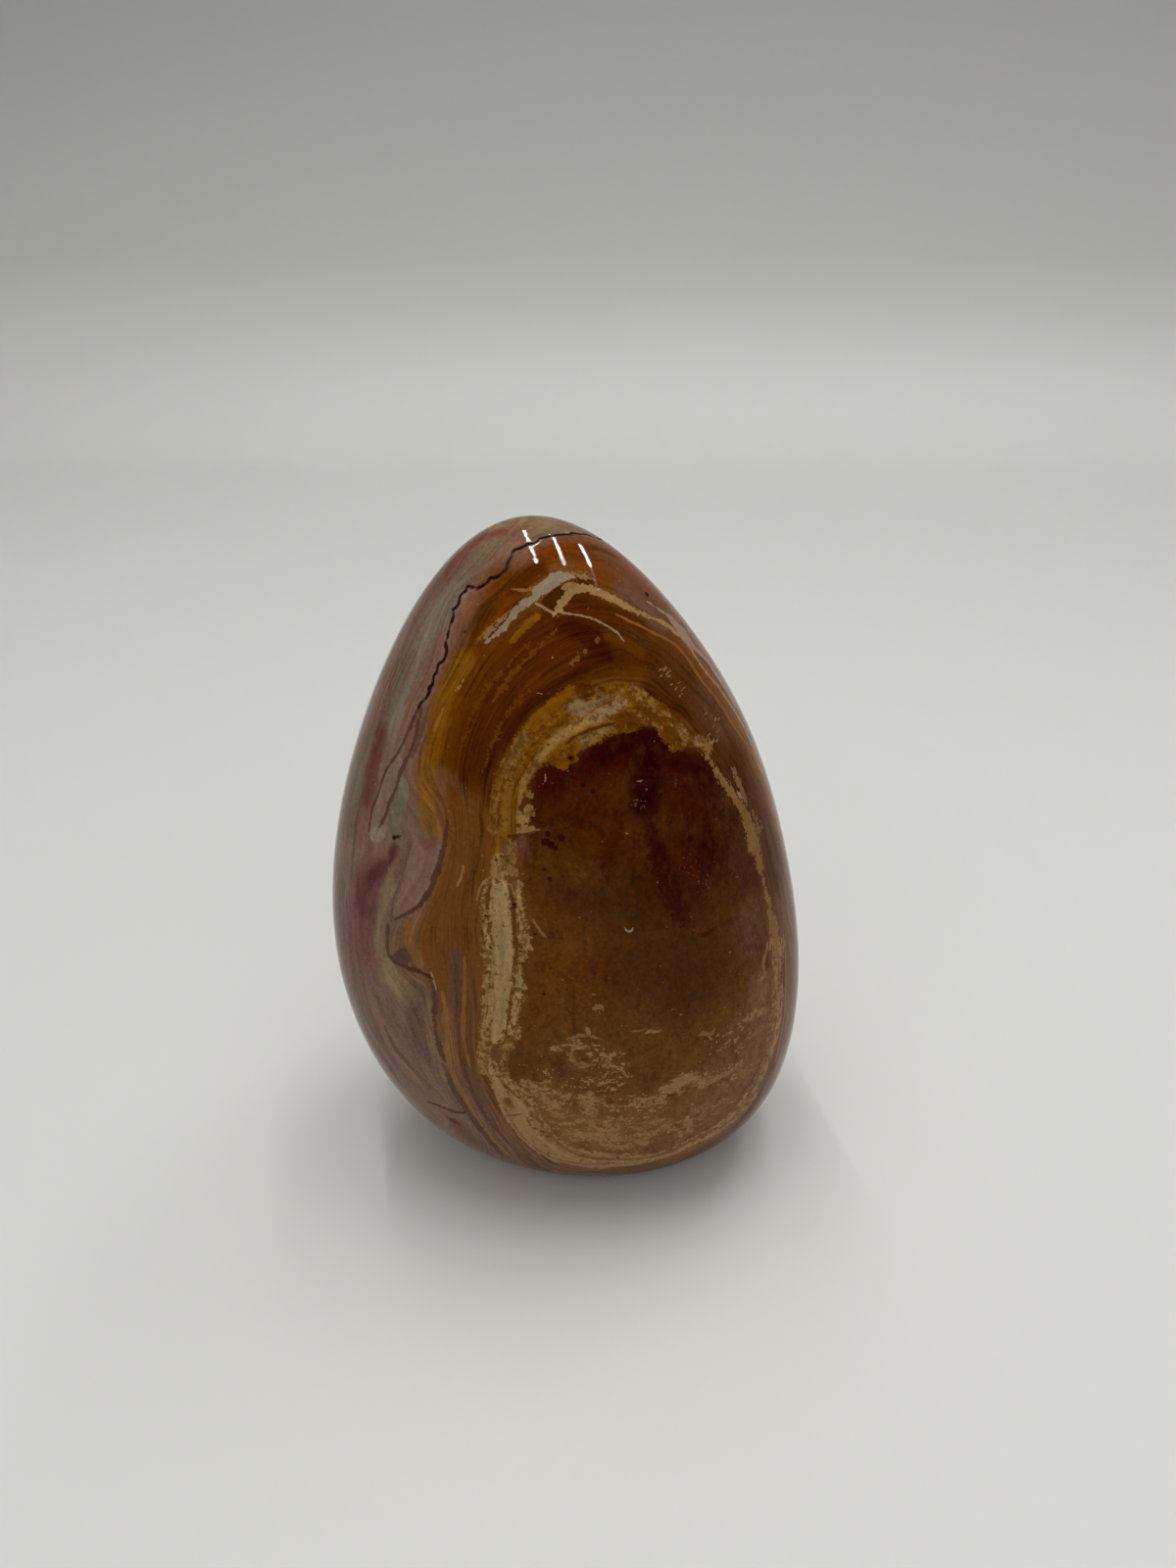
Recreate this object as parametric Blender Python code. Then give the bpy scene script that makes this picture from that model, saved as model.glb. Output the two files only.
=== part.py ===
"""Polished polychrome jasper freeform: one solid egg-shaped stone that stands on a small ground flat.

Blender 4.5. Metres, +Z up. The origin is on the table, under the middle of the stone's box. The broad face
that shows the brown core looks along -Y.
"""

import bmesh
import bpy
import numpy as np

MM = 0.001

# Driving dimensions, in millimetres
STONE_HEIGHT = 100.0
GROUND_AWAY = 4.0  # depth of the round bottom that was ground off to make the flat
FLAT_EDGE = 1.2  # height over which the flat's rim rolls up into the sides
# Height above the table, then the stone's reach from its upright axis to the left, right, front and back
STATIONS = (
    (4.0, 20.3, 27.9, 19.0, 18.0),
    (18.0, 31.0, 34.7, 25.5, 25.0),
    (36.0, 35.2, 34.9, 26.8, 26.5),
    (54.0, 34.0, 31.4, 24.6, 25.0),
    (72.0, 28.8, 24.8, 20.2, 21.6),
    (88.0, 20.8, 14.1, 14.0, 16.0),
)
AXIS_AT = (-0.02, 0.17)  # the upright axis, from the middle of the finished stone's box
SQUARENESS = 2.3  # exponent of the level outlines: 2 is an ellipse, more is boxier

# Facets along each side of the six patches that the round blank is made from
PATCH_FACETS = 22

JASPER_BROWN = (0.20, 0.09, 0.035, 1.0)
POLISH_ROUGHNESS = 0.12


def clear_scene():
    for obj in list(bpy.data.objects):
        bpy.data.objects.remove(obj, do_unlink=True)


def smooth_through(places, sizes):
    """A curve through the given sizes that bends evenly between them and runs on straight past both ends."""
    places = np.asarray(places, float)
    sizes = np.asarray(sizes, float)
    steps = np.diff(places)
    slopes = np.diff(sizes) / steps
    inner = np.diag(2 * (steps[:-1] + steps[1:])) + np.diag(steps[1:-1], 1) + np.diag(steps[1:-1], -1)
    bend = np.concatenate([[0.0], np.linalg.solve(inner, 6 * np.diff(slopes)), [0.0]])
    start_slope = slopes[0] - steps[0] * bend[1] / 6
    end_slope = slopes[-1] + steps[-1] * bend[-2] / 6

    def size_at(place):
        held = np.clip(place, places[0], places[-1])
        i = np.clip(np.searchsorted(places, held) - 1, 0, len(steps) - 1)
        before = (places[i + 1] - held) / steps[i]
        after = 1 - before
        curve = before * sizes[i] + after * sizes[i + 1]
        curve += ((before**3 - before) * bend[i] + (after**3 - after) * bend[i + 1]) * steps[i] ** 2 / 6
        return curve + np.where(place < held, start_slope, end_slope) * (place - held)

    return size_at


def shape_stone(ball):
    """Moves points of a unit ball onto the stone's surface, in millimetres."""
    x, y, level = ball.T
    full_height = STONE_HEIGHT + GROUND_AWAY
    height, left, right, front, back = np.array(STATIONS).T
    station = 2 * (height + GROUND_AWAY) / full_height - 1
    ring = np.sqrt(1 - station**2)  # the unit ball's radius at each station

    around = np.arctan2(y, x)
    across = np.abs(np.cos(around)) ** SQUARENESS
    along = np.abs(np.sin(around)) ** SQUARENESS
    boxy = (across + along) ** (-1 / SQUARENESS)
    corner = 1 + (boxy - 1) * (1 - level**2)  # round again at both ends

    half_width = smooth_through(station, (left + right) / 2 / ring)(level)
    half_depth = smooth_through(station, (front + back) / 2 / ring)(level)
    drift_right = smooth_through(station, (right - left) / 2)(level)
    drift_back = smooth_through(station, (back - front) / 2)(level)
    place_x = x * corner * half_width + drift_right + AXIS_AT[0]
    place_y = y * corner * half_depth + drift_back + AXIS_AT[1]

    raw_height = (level + 1) / 2 * full_height - GROUND_AWAY
    rim = (raw_height + FLAT_EDGE) ** 2 / (4 * FLAT_EDGE)
    ground = np.where(raw_height < -FLAT_EDGE, 0.0, rim)
    place_z = np.where(raw_height > FLAT_EDGE, raw_height, ground)
    return np.stack([place_x, place_y, place_z], 1)


def round_blank(facets):
    """A unit ball made from a cube whose sides are cut into a grid, so that it has no poles."""
    mesh = bmesh.new()
    bmesh.ops.create_cube(mesh, size=2.0)
    bmesh.ops.subdivide_edges(mesh, edges=mesh.edges[:], cuts=facets - 1, use_grid_fill=True)
    points = np.array([v.co for v in mesh.verts])
    points = np.tan(points * np.pi / 4)  # evens out the facets
    points /= np.linalg.norm(points, axis=1)[:, None]
    return mesh, points


def polished_jasper():
    material = bpy.data.materials.new("polished_jasper")
    material.use_nodes = True
    shader = material.node_tree.nodes["Principled BSDF"]
    shader.inputs["Base Color"].default_value = JASPER_BROWN
    shader.inputs["Roughness"].default_value = POLISH_ROUGHNESS
    shader.inputs["Metallic"].default_value = 0.0
    return material


def make_stone(collection):
    mesh, ball = round_blank(PATCH_FACETS)
    for vertex, place in zip(mesh.verts, shape_stone(ball) * MM):
        vertex.co = place
    bmesh.ops.recalc_face_normals(mesh, faces=mesh.faces[:])
    data = bpy.data.meshes.new("jasper_stone")
    mesh.to_mesh(data)
    mesh.free()
    data.shade_smooth()
    data.materials.append(polished_jasper())
    stone = bpy.data.objects.new("jasper_stone", data)
    collection.objects.link(stone)
    return stone


def main():
    clear_scene()
    collection = bpy.data.collections.new("jasper stone")
    bpy.context.scene.collection.children.link(collection)
    make_stone(collection)


main()
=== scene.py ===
import math

import bmesh
import bpy
import numpy as np
from mathutils import Matrix, Vector, noise
from mathutils.bvhtree import BVHTree


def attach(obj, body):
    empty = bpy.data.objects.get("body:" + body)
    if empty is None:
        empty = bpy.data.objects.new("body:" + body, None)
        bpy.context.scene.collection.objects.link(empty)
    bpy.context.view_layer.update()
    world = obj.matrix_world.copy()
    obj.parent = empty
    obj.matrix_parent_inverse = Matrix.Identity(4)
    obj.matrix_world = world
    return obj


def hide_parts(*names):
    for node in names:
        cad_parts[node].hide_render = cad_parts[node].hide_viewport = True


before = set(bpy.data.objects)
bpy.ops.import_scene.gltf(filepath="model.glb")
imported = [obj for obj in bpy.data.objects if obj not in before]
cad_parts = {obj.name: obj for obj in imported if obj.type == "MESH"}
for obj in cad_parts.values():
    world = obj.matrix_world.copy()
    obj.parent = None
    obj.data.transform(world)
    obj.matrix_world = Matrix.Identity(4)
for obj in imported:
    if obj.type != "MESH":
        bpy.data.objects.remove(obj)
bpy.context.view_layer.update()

# The view. The stone is seen from a phone held a little above it, looking down at its broad face.
# Every pixel coordinate below is in the photograph's own frame.
PHOTO_WIDTH = 1200
PHOTO_HEIGHT = 1600
FOCAL_PIXELS = 1202
LONG_SIDE_MM = 36
LOOKS_DOWN = math.radians(27)
CAMERA_AT = Vector((0.00279, -0.15179, 0.13895))
add_to_scene = bpy.context.scene.collection.objects.link

camera_data = bpy.data.cameras.new("camera")
camera_data.sensor_width = LONG_SIDE_MM
camera_data.lens = FOCAL_PIXELS / PHOTO_HEIGHT * LONG_SIDE_MM
camera_data.clip_start = 0.01
camera = bpy.data.objects.new("camera", camera_data)
camera.location = CAMERA_AT
camera.rotation_euler = (math.pi / 2 - LOOKS_DOWN, 0, 0)
add_to_scene(camera)
bpy.context.scene.camera = camera


# The stone's body. One natural lump of polychrome jasper, ground to an egg that is broader than deep,
# with a small flat ground under it to stand on, then tumbled and polished to a wet gloss all over.
MM = 0.001
STONE_HEIGHT = 100.0
GROUND_AWAY = 4.0  # depth of the round bottom that was ground off to make the flat
FLAT_EDGE = 1.2  # height over which the flat's rim rolls up into the sides
# Height above the table, then the stone's reach from its upright axis to the left, right, front and back
STATIONS = (
    (4.0, 20.3, 27.9, 19.0, 18.0),
    (18.0, 31.0, 34.7, 25.5, 25.0),
    (36.0, 35.2, 34.9, 26.8, 26.5),
    (54.0, 34.0, 31.4, 24.6, 25.0),
    (72.0, 28.8, 24.8, 20.2, 21.6),
    (88.0, 20.8, 14.1, 14.0, 16.0),
)
AXIS_AT = (-0.02, 0.17)  # the upright axis, from the middle of the finished stone's box
SQUARENESS = 2.3  # exponent of the level outlines: 2 is an ellipse, more is boxier
PATCH_FACETS = 112  # along each side of the six patches that the round blank is made from
DENSER_TOWARDS = (0.0, -0.40, 0.20)  # the facets are finest on the front, which holds the most markings


def smooth_through(places, sizes):
    """A curve through the given sizes that bends evenly between them and runs on straight past both ends."""
    places = np.asarray(places, float)
    sizes = np.asarray(sizes, float)
    steps = np.diff(places)
    slopes = np.diff(sizes) / steps
    inner = np.diag(2 * (steps[:-1] + steps[1:])) + np.diag(steps[1:-1], 1) + np.diag(steps[1:-1], -1)
    bend = np.concatenate([[0.0], np.linalg.solve(inner, 6 * np.diff(slopes)), [0.0]])
    start_slope = slopes[0] - steps[0] * bend[1] / 6
    end_slope = slopes[-1] + steps[-1] * bend[-2] / 6

    def size_at(place):
        held = np.clip(place, places[0], places[-1])
        i = np.clip(np.searchsorted(places, held) - 1, 0, len(steps) - 1)
        before = (places[i + 1] - held) / steps[i]
        after = 1 - before
        curve = before * sizes[i] + after * sizes[i + 1]
        curve += ((before**3 - before) * bend[i] + (after**3 - after) * bend[i + 1]) * steps[i] ** 2 / 6
        return curve + np.where(place < held, start_slope, end_slope) * (place - held)

    return size_at


def shape_stone(ball):
    """Moves points of a unit ball onto the stone's surface, in millimetres."""
    x, y, level = ball.T
    full_height = STONE_HEIGHT + GROUND_AWAY
    height, left, right, front, back = np.array(STATIONS).T
    station = 2 * (height + GROUND_AWAY) / full_height - 1
    ring = np.sqrt(1 - station**2)  # the unit ball's radius at each station

    around = np.arctan2(y, x)
    across = np.abs(np.cos(around)) ** SQUARENESS
    along = np.abs(np.sin(around)) ** SQUARENESS
    boxy = (across + along) ** (-1 / SQUARENESS)
    corner = 1 + (boxy - 1) * (1 - level**2)  # round again at both ends

    half_width = smooth_through(station, (left + right) / 2 / ring)(level)
    half_depth = smooth_through(station, (front + back) / 2 / ring)(level)
    drift_right = smooth_through(station, (right - left) / 2)(level)
    drift_back = smooth_through(station, (back - front) / 2)(level)
    place_x = x * corner * half_width + drift_right + AXIS_AT[0]
    place_y = y * corner * half_depth + drift_back + AXIS_AT[1]

    raw_height = (level + 1) / 2 * full_height - GROUND_AWAY
    rim = (raw_height + FLAT_EDGE) ** 2 / (4 * FLAT_EDGE)
    ground = np.where(raw_height < -FLAT_EDGE, 0.0, rim)
    place_z = np.where(raw_height > FLAT_EDGE, raw_height, ground)
    return np.stack([place_x, place_y, place_z], 1)


def unit(vectors):
    """The same directions, each with a length of 1."""
    return vectors / np.linalg.norm(vectors, axis=1)[:, None]


blank = bmesh.new()
bmesh.ops.create_cube(blank, size=2.0)
bmesh.ops.subdivide_edges(blank, edges=blank.edges[:], cuts=PATCH_FACETS - 1, use_grid_fill=True)
ball = unit(np.tan(np.array([v.co for v in blank.verts]) * np.pi / 4))
ball = unit(ball + DENSER_TOWARDS)
for vertex, place in zip(blank.verts, shape_stone(ball) * MM):
    vertex.co = place
bmesh.ops.recalc_face_normals(blank, faces=blank.faces[:])
stone_mesh = bpy.data.meshes.new("stone")
blank.to_mesh(stone_mesh)
blank.free()
stone_mesh.shade_smooth()
stone = bpy.data.objects.new("stone", stone_mesh)
add_to_scene(stone)


# The open seam and the pits. One natural crack was left unpolished at the upper left, a hair wide. A few
# small hollows lie in the core and where the seam's finer branches end. Both are coloured dark.
# In mm where nothing else is said
SEAM_WIDTH = 0.52
SEAM_DEPTH = 0.22
SEAM_JOLT = 0.45  # how far the crack jolts off its line
JOLTS_PER_MM = 0.9
JOLT_SEED = 3  # unseeded, Blender's vector noise comes out anew in every run
SEAM_WANDER = 900.0  # changes of the crack's width per metre
PIT_DEPTH = 0.10
DENSER_WITHIN = 0.75  # of the seam and the pits, where the mesh is cut finer
FINER_CUTS = 2
PIXEL_MM = 0.077  # the size of a pixel on the stone's front
MOST_SQUEEZED = 0.4  # the least share of its width that a line is taken to show, where the stone turns away
STONE_MIDDLE = Vector((0, 0, STONE_HEIGHT * MM / 2))
SEAM_LINE = (
    (622, 553), (615, 551), (608, 549), (600, 546), (588, 544), (577, 545), (568, 546), (561, 547),
    (556, 548), (551, 550), (546, 553), (538, 555), (530, 561), (523, 566), (519, 573), (516, 579),
    (510, 585), (502, 590), (496, 594), (490, 599), (486, 601), (478, 599), (475, 604), (471, 607),
    (468, 615), (463, 623), (460, 632), (458, 640), (457, 649), (456, 656), (455, 664), (453, 674),
    (449, 677), (445, 685), (440, 697), (434, 711), (428, 721),
)
# Each pit's place and its size in pixels
PITS = (
    (403, 854, 5), (559, 857, 4), (565, 860, 3), (573, 855, 3), (595, 801, 2), (604, 807, 2), (704, 856, 3),
    (660, 608, 4), (653, 818, 4), (555, 1014, 2), (582, 773, 3),
)


def smooth_line(points, closed=False, gap=1.5):
    """Pixels every gap along a smooth line through given ones. A third value, a width, is kept."""
    points = np.array(points, float)
    if len(points) == 2:
        points = np.insert(points, 1, points.mean(0), 0)
    if closed:
        points = np.vstack([points[-3:], points, points[:4]])
    run = np.concatenate([[0], np.cumsum(np.hypot(*np.diff(points[:, :2], axis=0).T))])
    start, end = (run[3], run[-4]) if closed else (0, run[-1])
    steps = np.linspace(start, end, int((end - start) / gap) + 3)
    return np.stack([smooth_through(run, column)(steps) for column in points.T], 1)


stone_tree = BVHTree.FromPolygons(
    [v.co.copy() for v in stone_mesh.vertices], [tuple(p.vertices) for p in stone_mesh.polygons]
)
to_world = Matrix.Rotation(math.pi / 2 - LOOKS_DOWN, 3, "X")
looks_along = np.array(to_world @ Vector((0, 0, -1)))


def on_stone(px, py, behind=False):
    """Where the sight line through a pixel enters the stone, or leaves it behind, and the normal there."""
    ray = (to_world @ Vector((px - PHOTO_WIDTH / 2, PHOTO_HEIGHT / 2 - py, -FOCAL_PIXELS))).normalized()
    start = CAMERA_AT + ray if behind else CAMERA_AT
    place, normal = stone_tree.ray_cast(start, -ray if behind else ray)[:2]
    if place is None:
        passing = CAMERA_AT + ray * (STONE_MIDDLE - CAMERA_AT).dot(ray)
        place, normal = stone_tree.find_nearest(passing)[:2]
    return np.array(place) / MM, np.array(normal)


def trace(points, closed=False):
    """A line on the stone: its places, where ahead and across point, the normals, half the width in mm."""
    flat = smooth_line(points, closed)
    place, normal = (np.array(side) for side in zip(*(on_stone(px, py) for px, py in flat[:, :2])))
    if closed:
        ahead = np.roll(place, -1, 0) - np.roll(place, 1, 0)
    else:
        ahead = np.gradient(place, axis=0)
    ahead /= np.linalg.norm(ahead, axis=1)[:, None] + 1e-9
    across = np.cross(normal, ahead)
    half = np.zeros(len(flat))
    if flat.shape[1] > 2:
        sight = place - np.array(CAMERA_AT) / MM
        pixel = sight @ looks_along / FOCAL_PIXELS
        sight = unit(sight)
        squeeze = np.linalg.norm(across - (across * sight).sum(1)[:, None] * sight, axis=1)
        half = flat[:, 2] / 2 * pixel / np.maximum(squeeze, MOST_SQUEEZED)
    return place, ahead, across, normal, half


def stirred(where, rate, reach):
    """A smooth wander at each of some places, with its turns per mm and its reach in mm."""
    return np.array([noise.noise_vector(Vector(place) * rate) for place in where]) * reach


seam_at, _, _, seam_normals, _ = trace(SEAM_LINE)
noise.seed_set(JOLT_SEED)
jolts = stirred(seam_at, JOLTS_PER_MM, SEAM_JOLT)
jolts -= (jolts * seam_normals).sum(1)[:, None] * seam_normals
seam_curve = bpy.data.curves.new("seam", "CURVE")
seam_curve.dimensions = "3D"
spline = seam_curve.splines.new("POLY")
spline.points.add(len(seam_at) - 1)
for point, place in zip(spline.points, (seam_at + jolts) * MM):
    point.co = (*place, 1)
seam_path = bpy.data.objects.new("seam", seam_curve)

pit_places = [on_stone(x, y)[0] for x, y, size in PITS]
pit_mesh = bpy.data.meshes.new("pits")
pit_mesh.from_pydata([place * MM for place in pit_places], [], [])
pit_sizes = pit_mesh.attributes.new("radius", "FLOAT", "POINT")
pit_sizes.data.foreach_set("value", [size * PIXEL_MM * MM for x, y, size in PITS])
pit_points = bpy.data.objects.new("pits", pit_mesh)
for guide in (seam_path, pit_points):
    add_to_scene(guide)

finer = bmesh.new()
finer.from_mesh(stone_mesh)
middles = np.array([face.calc_center_median() for face in finer.faces]) / MM
nearest = np.full(len(middles), np.inf)
for place in (*seam_at, *pit_places):
    nearest = np.minimum(nearest, ((middles - place) ** 2).sum(1))
finer.faces.ensure_lookup_table()
close = [finer.faces[i] for i in np.flatnonzero(nearest < DENSER_WITHIN**2)]
close_edges = list(dict.fromkeys(edge for face in close for edge in face.edges))
bmesh.ops.subdivide_edges(finer, edges=close_edges, cuts=FINER_CUTS, use_grid_fill=True, smooth=0.0)
bmesh.ops.triangulate(finer, faces=[face for face in finer.faces if len(face.verts) > 4])
finer.to_mesh(stone_mesh)
finer.free()
stone_mesh.shade_smooth()


class Signal:
    """One output in a tree of nodes. Sums and products of signals add the nodes that work them out."""

    def __init__(self, tree, socket=None):
        self.tree = tree
        self.socket = socket

    def add(self, kind, settings, inputs, output=0):
        """Adds a node: its settings, then the values or links of its sockets. Gives one of its outputs."""
        node = self.tree.nodes.new(kind)
        for name, value in settings.items():
            setattr(node, name, value)
        for name, value in inputs.items():
            if isinstance(value, Signal):
                self.tree.links.new(value.socket, node.inputs[name])
            else:
                node.inputs[name].default_value = value
        return Signal(self.tree, node.outputs[output])

    def math(self, operation, *values):
        return self.add("ShaderNodeMath", {"operation": operation}, dict(enumerate(values)))

    def __add__(self, other):
        return self.math("ADD", self, other)

    def __sub__(self, other):
        return self.math("SUBTRACT", self, other)

    def __rsub__(self, other):
        return self.math("SUBTRACT", other, self)

    def __mul__(self, other):
        return self.math("MULTIPLY", self, other)

    def __truediv__(self, other):
        return self.math("DIVIDE", self, other)

    def __abs__(self):
        return self.math("ABSOLUTE", self)

    __radd__ = __add__
    __rmul__ = __mul__

    def above(self, edge, soft):
        """0 below an edge and 1 above it, with a soft step between."""
        settings = {"operation": "ADD", "use_clamp": True}
        return self.add("ShaderNodeMath", settings, {0: (self - edge) / soft, 1: 0.5})

    def mixed(self, over, amount):
        """This colour with another laid over it."""
        return self.add("ShaderNodeMix", {"data_type": "RGBA"}, {0: amount, 6: self, 7: over}, 2)

    def scaled(self, amount):
        """This colour or direction times a number."""
        return self.add("ShaderNodeVectorMath", {"operation": "SCALE"}, {0: self, 3: amount})


jasper = bpy.data.materials.new("jasper")
jasper.use_nodes = True
carving = bpy.data.node_groups.new("carve seam and pits", "GeometryNodeTree")
carving.is_modifier = True
CARVING_INPUTS = (
    ("Geometry", "Geometry", None),
    ("Seam", "Object", seam_path),
    ("Pits", "Object", pit_points),
    ("Seam Width", "Float", SEAM_WIDTH * MM),
    ("Seam Depth", "Float", SEAM_DEPTH * MM),
    ("Pit Depth", "Float", PIT_DEPTH * MM),
    ("Wander", "Float", SEAM_WANDER),
    ("Material", "Material", jasper),
)
carving_sockets = {}
for name, kind, value in CARVING_INPUTS:
    socket = carving.interface.new_socket(name, in_out="INPUT", socket_type="NodeSocket" + kind)
    carving_sockets[name] = socket
carving.interface.new_socket("Geometry", in_out="OUTPUT", socket_type="NodeSocketGeometry")
carve = Signal(carving)
given = {socket.name: Signal(carving, socket) for socket in carving.nodes.new("NodeGroupInput").outputs}


def dented(distance, reach, depth):
    """The depth at a distance from the middle of a dent, which rises softly to nothing at its reach."""
    inputs = {"Value": distance, "From Min": 0.0, "From Max": reach, "To Min": depth, "To Max": 0.0}
    return carve.add("ShaderNodeMapRange", {"interpolation_type": "SMOOTHSTEP"}, inputs)


where = carve.add("GeometryNodeInputPosition", {}, {})
seam_shape = carve.add("GeometryNodeObjectInfo", {}, {"Object": given["Seam"]}, "Geometry")
seam_wire = carve.add("GeometryNodeCurveToMesh", {}, {"Curve": seam_shape})
to_seam = carve.add("GeometryNodeProximity", {"target_element": "EDGES"}, {0: seam_wire}, "Distance")
wander = carve.add("ShaderNodeTexNoise", {}, {"Vector": where, "Scale": given["Wander"], "Detail": 2.0})
half_share = carve.add(
    "ShaderNodeMapRange", {},
    {"Value": wander, "From Min": 0.3, "From Max": 0.7, "To Min": 0.40, "To Max": 0.75},
)
seam_dent = dented(to_seam, half_share * given["Seam Width"], given["Seam Depth"])
pit_shape = carve.add("GeometryNodeObjectInfo", {}, {"Object": given["Pits"]}, "Geometry")
to_pit = carve.add("GeometryNodeProximity", {"target_element": "POINTS"}, {0: pit_shape}, "Distance")
nearest_pit = carve.add("GeometryNodeSampleNearest", {"domain": "POINT"}, {"Geometry": pit_shape})
pit_size = carve.add("GeometryNodeInputNamedAttribute", {"data_type": "FLOAT"}, {"Name": "radius"})
pit_radius = carve.add(
    "GeometryNodeSampleIndex", {"data_type": "FLOAT", "domain": "POINT"},
    {"Geometry": pit_shape, "Value": pit_size, "Index": nearest_pit},
)
pit_dent = dented(to_pit, pit_radius, given["Pit Depth"])
dent = carve.math("MAXIMUM", seam_dent, pit_dent)
push = carve.add("GeometryNodeInputNormal", {}, {}).scaled(dent * -1.0)
carved = carve.add("GeometryNodeSetPosition", {}, {"Geometry": given["Geometry"], "Offset": push})
marked = carve.add(
    "GeometryNodeStoreNamedAttribute", {"data_type": "FLOAT", "domain": "POINT"},
    {"Geometry": carved, "Name": "hollow", "Value": dent / given["Seam Depth"]},
)
real = carve.add("GeometryNodeRealizeInstances", {}, {"Geometry": marked})
dressed = carve.add("GeometryNodeSetMaterial", {}, {"Geometry": real, "Material": given["Material"]})
carving.links.new(dressed.socket, carving.nodes.new("NodeGroupOutput").inputs[0])

carver = stone.modifiers.new("carve", "NODES")
carver.node_group = carving
for name, kind, value in CARVING_INPUTS[1:]:
    carver[carving_sockets[name].identifier] = value
bpy.context.view_layer.update()
carved_mesh = bpy.data.meshes.new_from_object(stone.evaluated_get(bpy.context.evaluated_depsgraph_get()))
stone.modifiers.remove(carver)
stone.data = carved_mesh
bpy.data.meshes.remove(stone_mesh)
stone_mesh = carved_mesh
stone_mesh.name = "stone"
for guide in (seam_path, pit_points):
    bpy.data.objects.remove(guide)


# The growth bands. The jasper grew in shells round a brown core, so each place on the stone has a level:
# how many millimetres of growth lie between it and the core's edge. Lines of equal level follow the
# photograph in front, and a second, smaller eye is given to the hidden side.
GROWTH_LINES = {
    0: ((545, 1128), (527, 1100), (520, 1075), (529, 1045), (536, 1005), (540, 965), (535, 925),
        (528, 890), (527, 862), (531, 835), (537, 808), (550, 788), (572, 781), (590, 767), (612, 752),
        (640, 744), (665, 747), (685, 760), (712, 768), (731, 783), (746, 812), (762, 842), (772, 880),
        (781, 920), (786, 955), (788, 990), (788, 1025), (783, 1065), (772, 1105), (750, 1140),
        (715, 1164), (670, 1180), (620, 1181), (580, 1168), (558, 1148)),
    4: ((490, 1090), (491, 1050), (492, 1000), (490, 950), (494, 905), (500, 870), (500, 830), (506, 793),
        (521, 758), (541, 730), (565, 710), (600, 697), (640, 689), (672, 699), (698, 718), (718, 745),
        (731, 768), (752, 797), (770, 832), (780, 872), (789, 915), (796, 965), (798, 1015), (794, 1060),
        (781, 1100), (757, 1138), (718, 1170), (670, 1190), (615, 1196), (560, 1187), (525, 1155),
        (502, 1115)),
    6: ((484, 1095), (483, 1040), (482, 985), (480, 940), (485, 895), (494, 850), (494, 815), (500, 783),
        (513, 748), (532, 719), (560, 692), (595, 672), (635, 662), (668, 677), (696, 708), (722, 738),
        (744, 772), (766, 812), (781, 858), (792, 905), (800, 960), (803, 1015), (800, 1060)),
    10: ((474, 1100), (467, 1050), (466, 1000), (463, 955), (469, 905), (477, 855), (476, 810), (480, 772),
        (491, 737), (512, 701), (540, 670), (575, 647), (615, 640), (655, 653), (690, 678), (718, 708),
        (742, 745), (764, 790), (780, 835), (793, 880), (804, 930)),
    13: ((463, 1092), (457, 1050), (456, 1010), (447, 975), (446, 945), (457, 905), (467, 865), (466, 825),
        (458, 790), (461, 752), (474, 715), (492, 682), (517, 652), (548, 626), (585, 612), (625, 617),
        (665, 640), (700, 668), (728, 704), (752, 745), (774, 795), (790, 845)),
    16: ((497, 1168), (480, 1140), (466, 1112), (455, 1085), (448, 1055), (445, 1020), (438, 998),
        (423, 990), (416, 972), (420, 950), (429, 932), (442, 908), (451, 880), (457, 850), (448, 822),
        (434, 803), (428, 785), (432, 763), (440, 738), (449, 713), (463, 688), (477, 660), (491, 635),
        (508, 610), (528, 590), (550, 574), (580, 564), (615, 566), (645, 583), (672, 608), (700, 640),
        (726, 676), (750, 718), (770, 762)),
    18: ((410, 800), (412, 769), (419, 747), (430, 720), (442, 698), (452, 677), (458, 645), (465, 615),
        (480, 602), (499, 595), (515, 582), (528, 563), (548, 551), (572, 545), (598, 546), (616, 552)),
    22: ((478, 572), (450, 612), (430, 648), (413, 685), (399, 720), (388, 760), (378, 800), (370, 845),
        (365, 885), (362, 925), (363, 965), (368, 1003), (378, 1038), (394, 1068), (414, 1098),
        (440, 1122), (468, 1143)),
    26: ((458, 575), (433, 610), (410, 655), (393, 692), (379, 730), (367, 768), (357, 808), (350, 850),
        (347, 895), (348, 940), (351, 985), (360, 1024), (374, 1056), (394, 1086), (418, 1114),
        (450, 1140)),
}
# The hidden side is given by the pixels whose sight lines leave the stone there
BACK_LINES = {
    18: ((505, 560), (480, 640), (462, 720), (455, 800), (462, 880), (480, 960), (510, 1040)),
    26: ((460, 600), (430, 680), (405, 760), (395, 850), (400, 940), (425, 1020), (465, 1090)),
    9: ((560, 1160), (620, 1170), (680, 1150), (730, 1100), (765, 1030), (780, 950)),
}
BACK_EYE = (600, 720)
BACK_EYE_RINGS = {0: (62, 88), 4: (82, 112), 10: (122, 158)}
RING_POINTS = 14
LEVEL_ROUNDING = 0.3  # how softly the level bends at a guide point, in square mm

guides = [(level, on_stone(*p)[0]) for level, line in GROWTH_LINES.items() for p in line]
guides += [(level, on_stone(*p, behind=True)[0]) for level, line in BACK_LINES.items() for p in line]
for level, (wide, high) in BACK_EYE_RINGS.items():
    for turn in np.linspace(0, 2 * np.pi, RING_POINTS, endpoint=False):
        ring_at = (BACK_EYE[0] + wide * math.cos(turn), BACK_EYE[1] + high * math.sin(turn))
        guides.append((level, on_stone(*ring_at, behind=True)[0]))
guide_levels = np.array([g[0] for g in guides], float)
guide_places = np.array([g[1] for g in guides])


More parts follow.
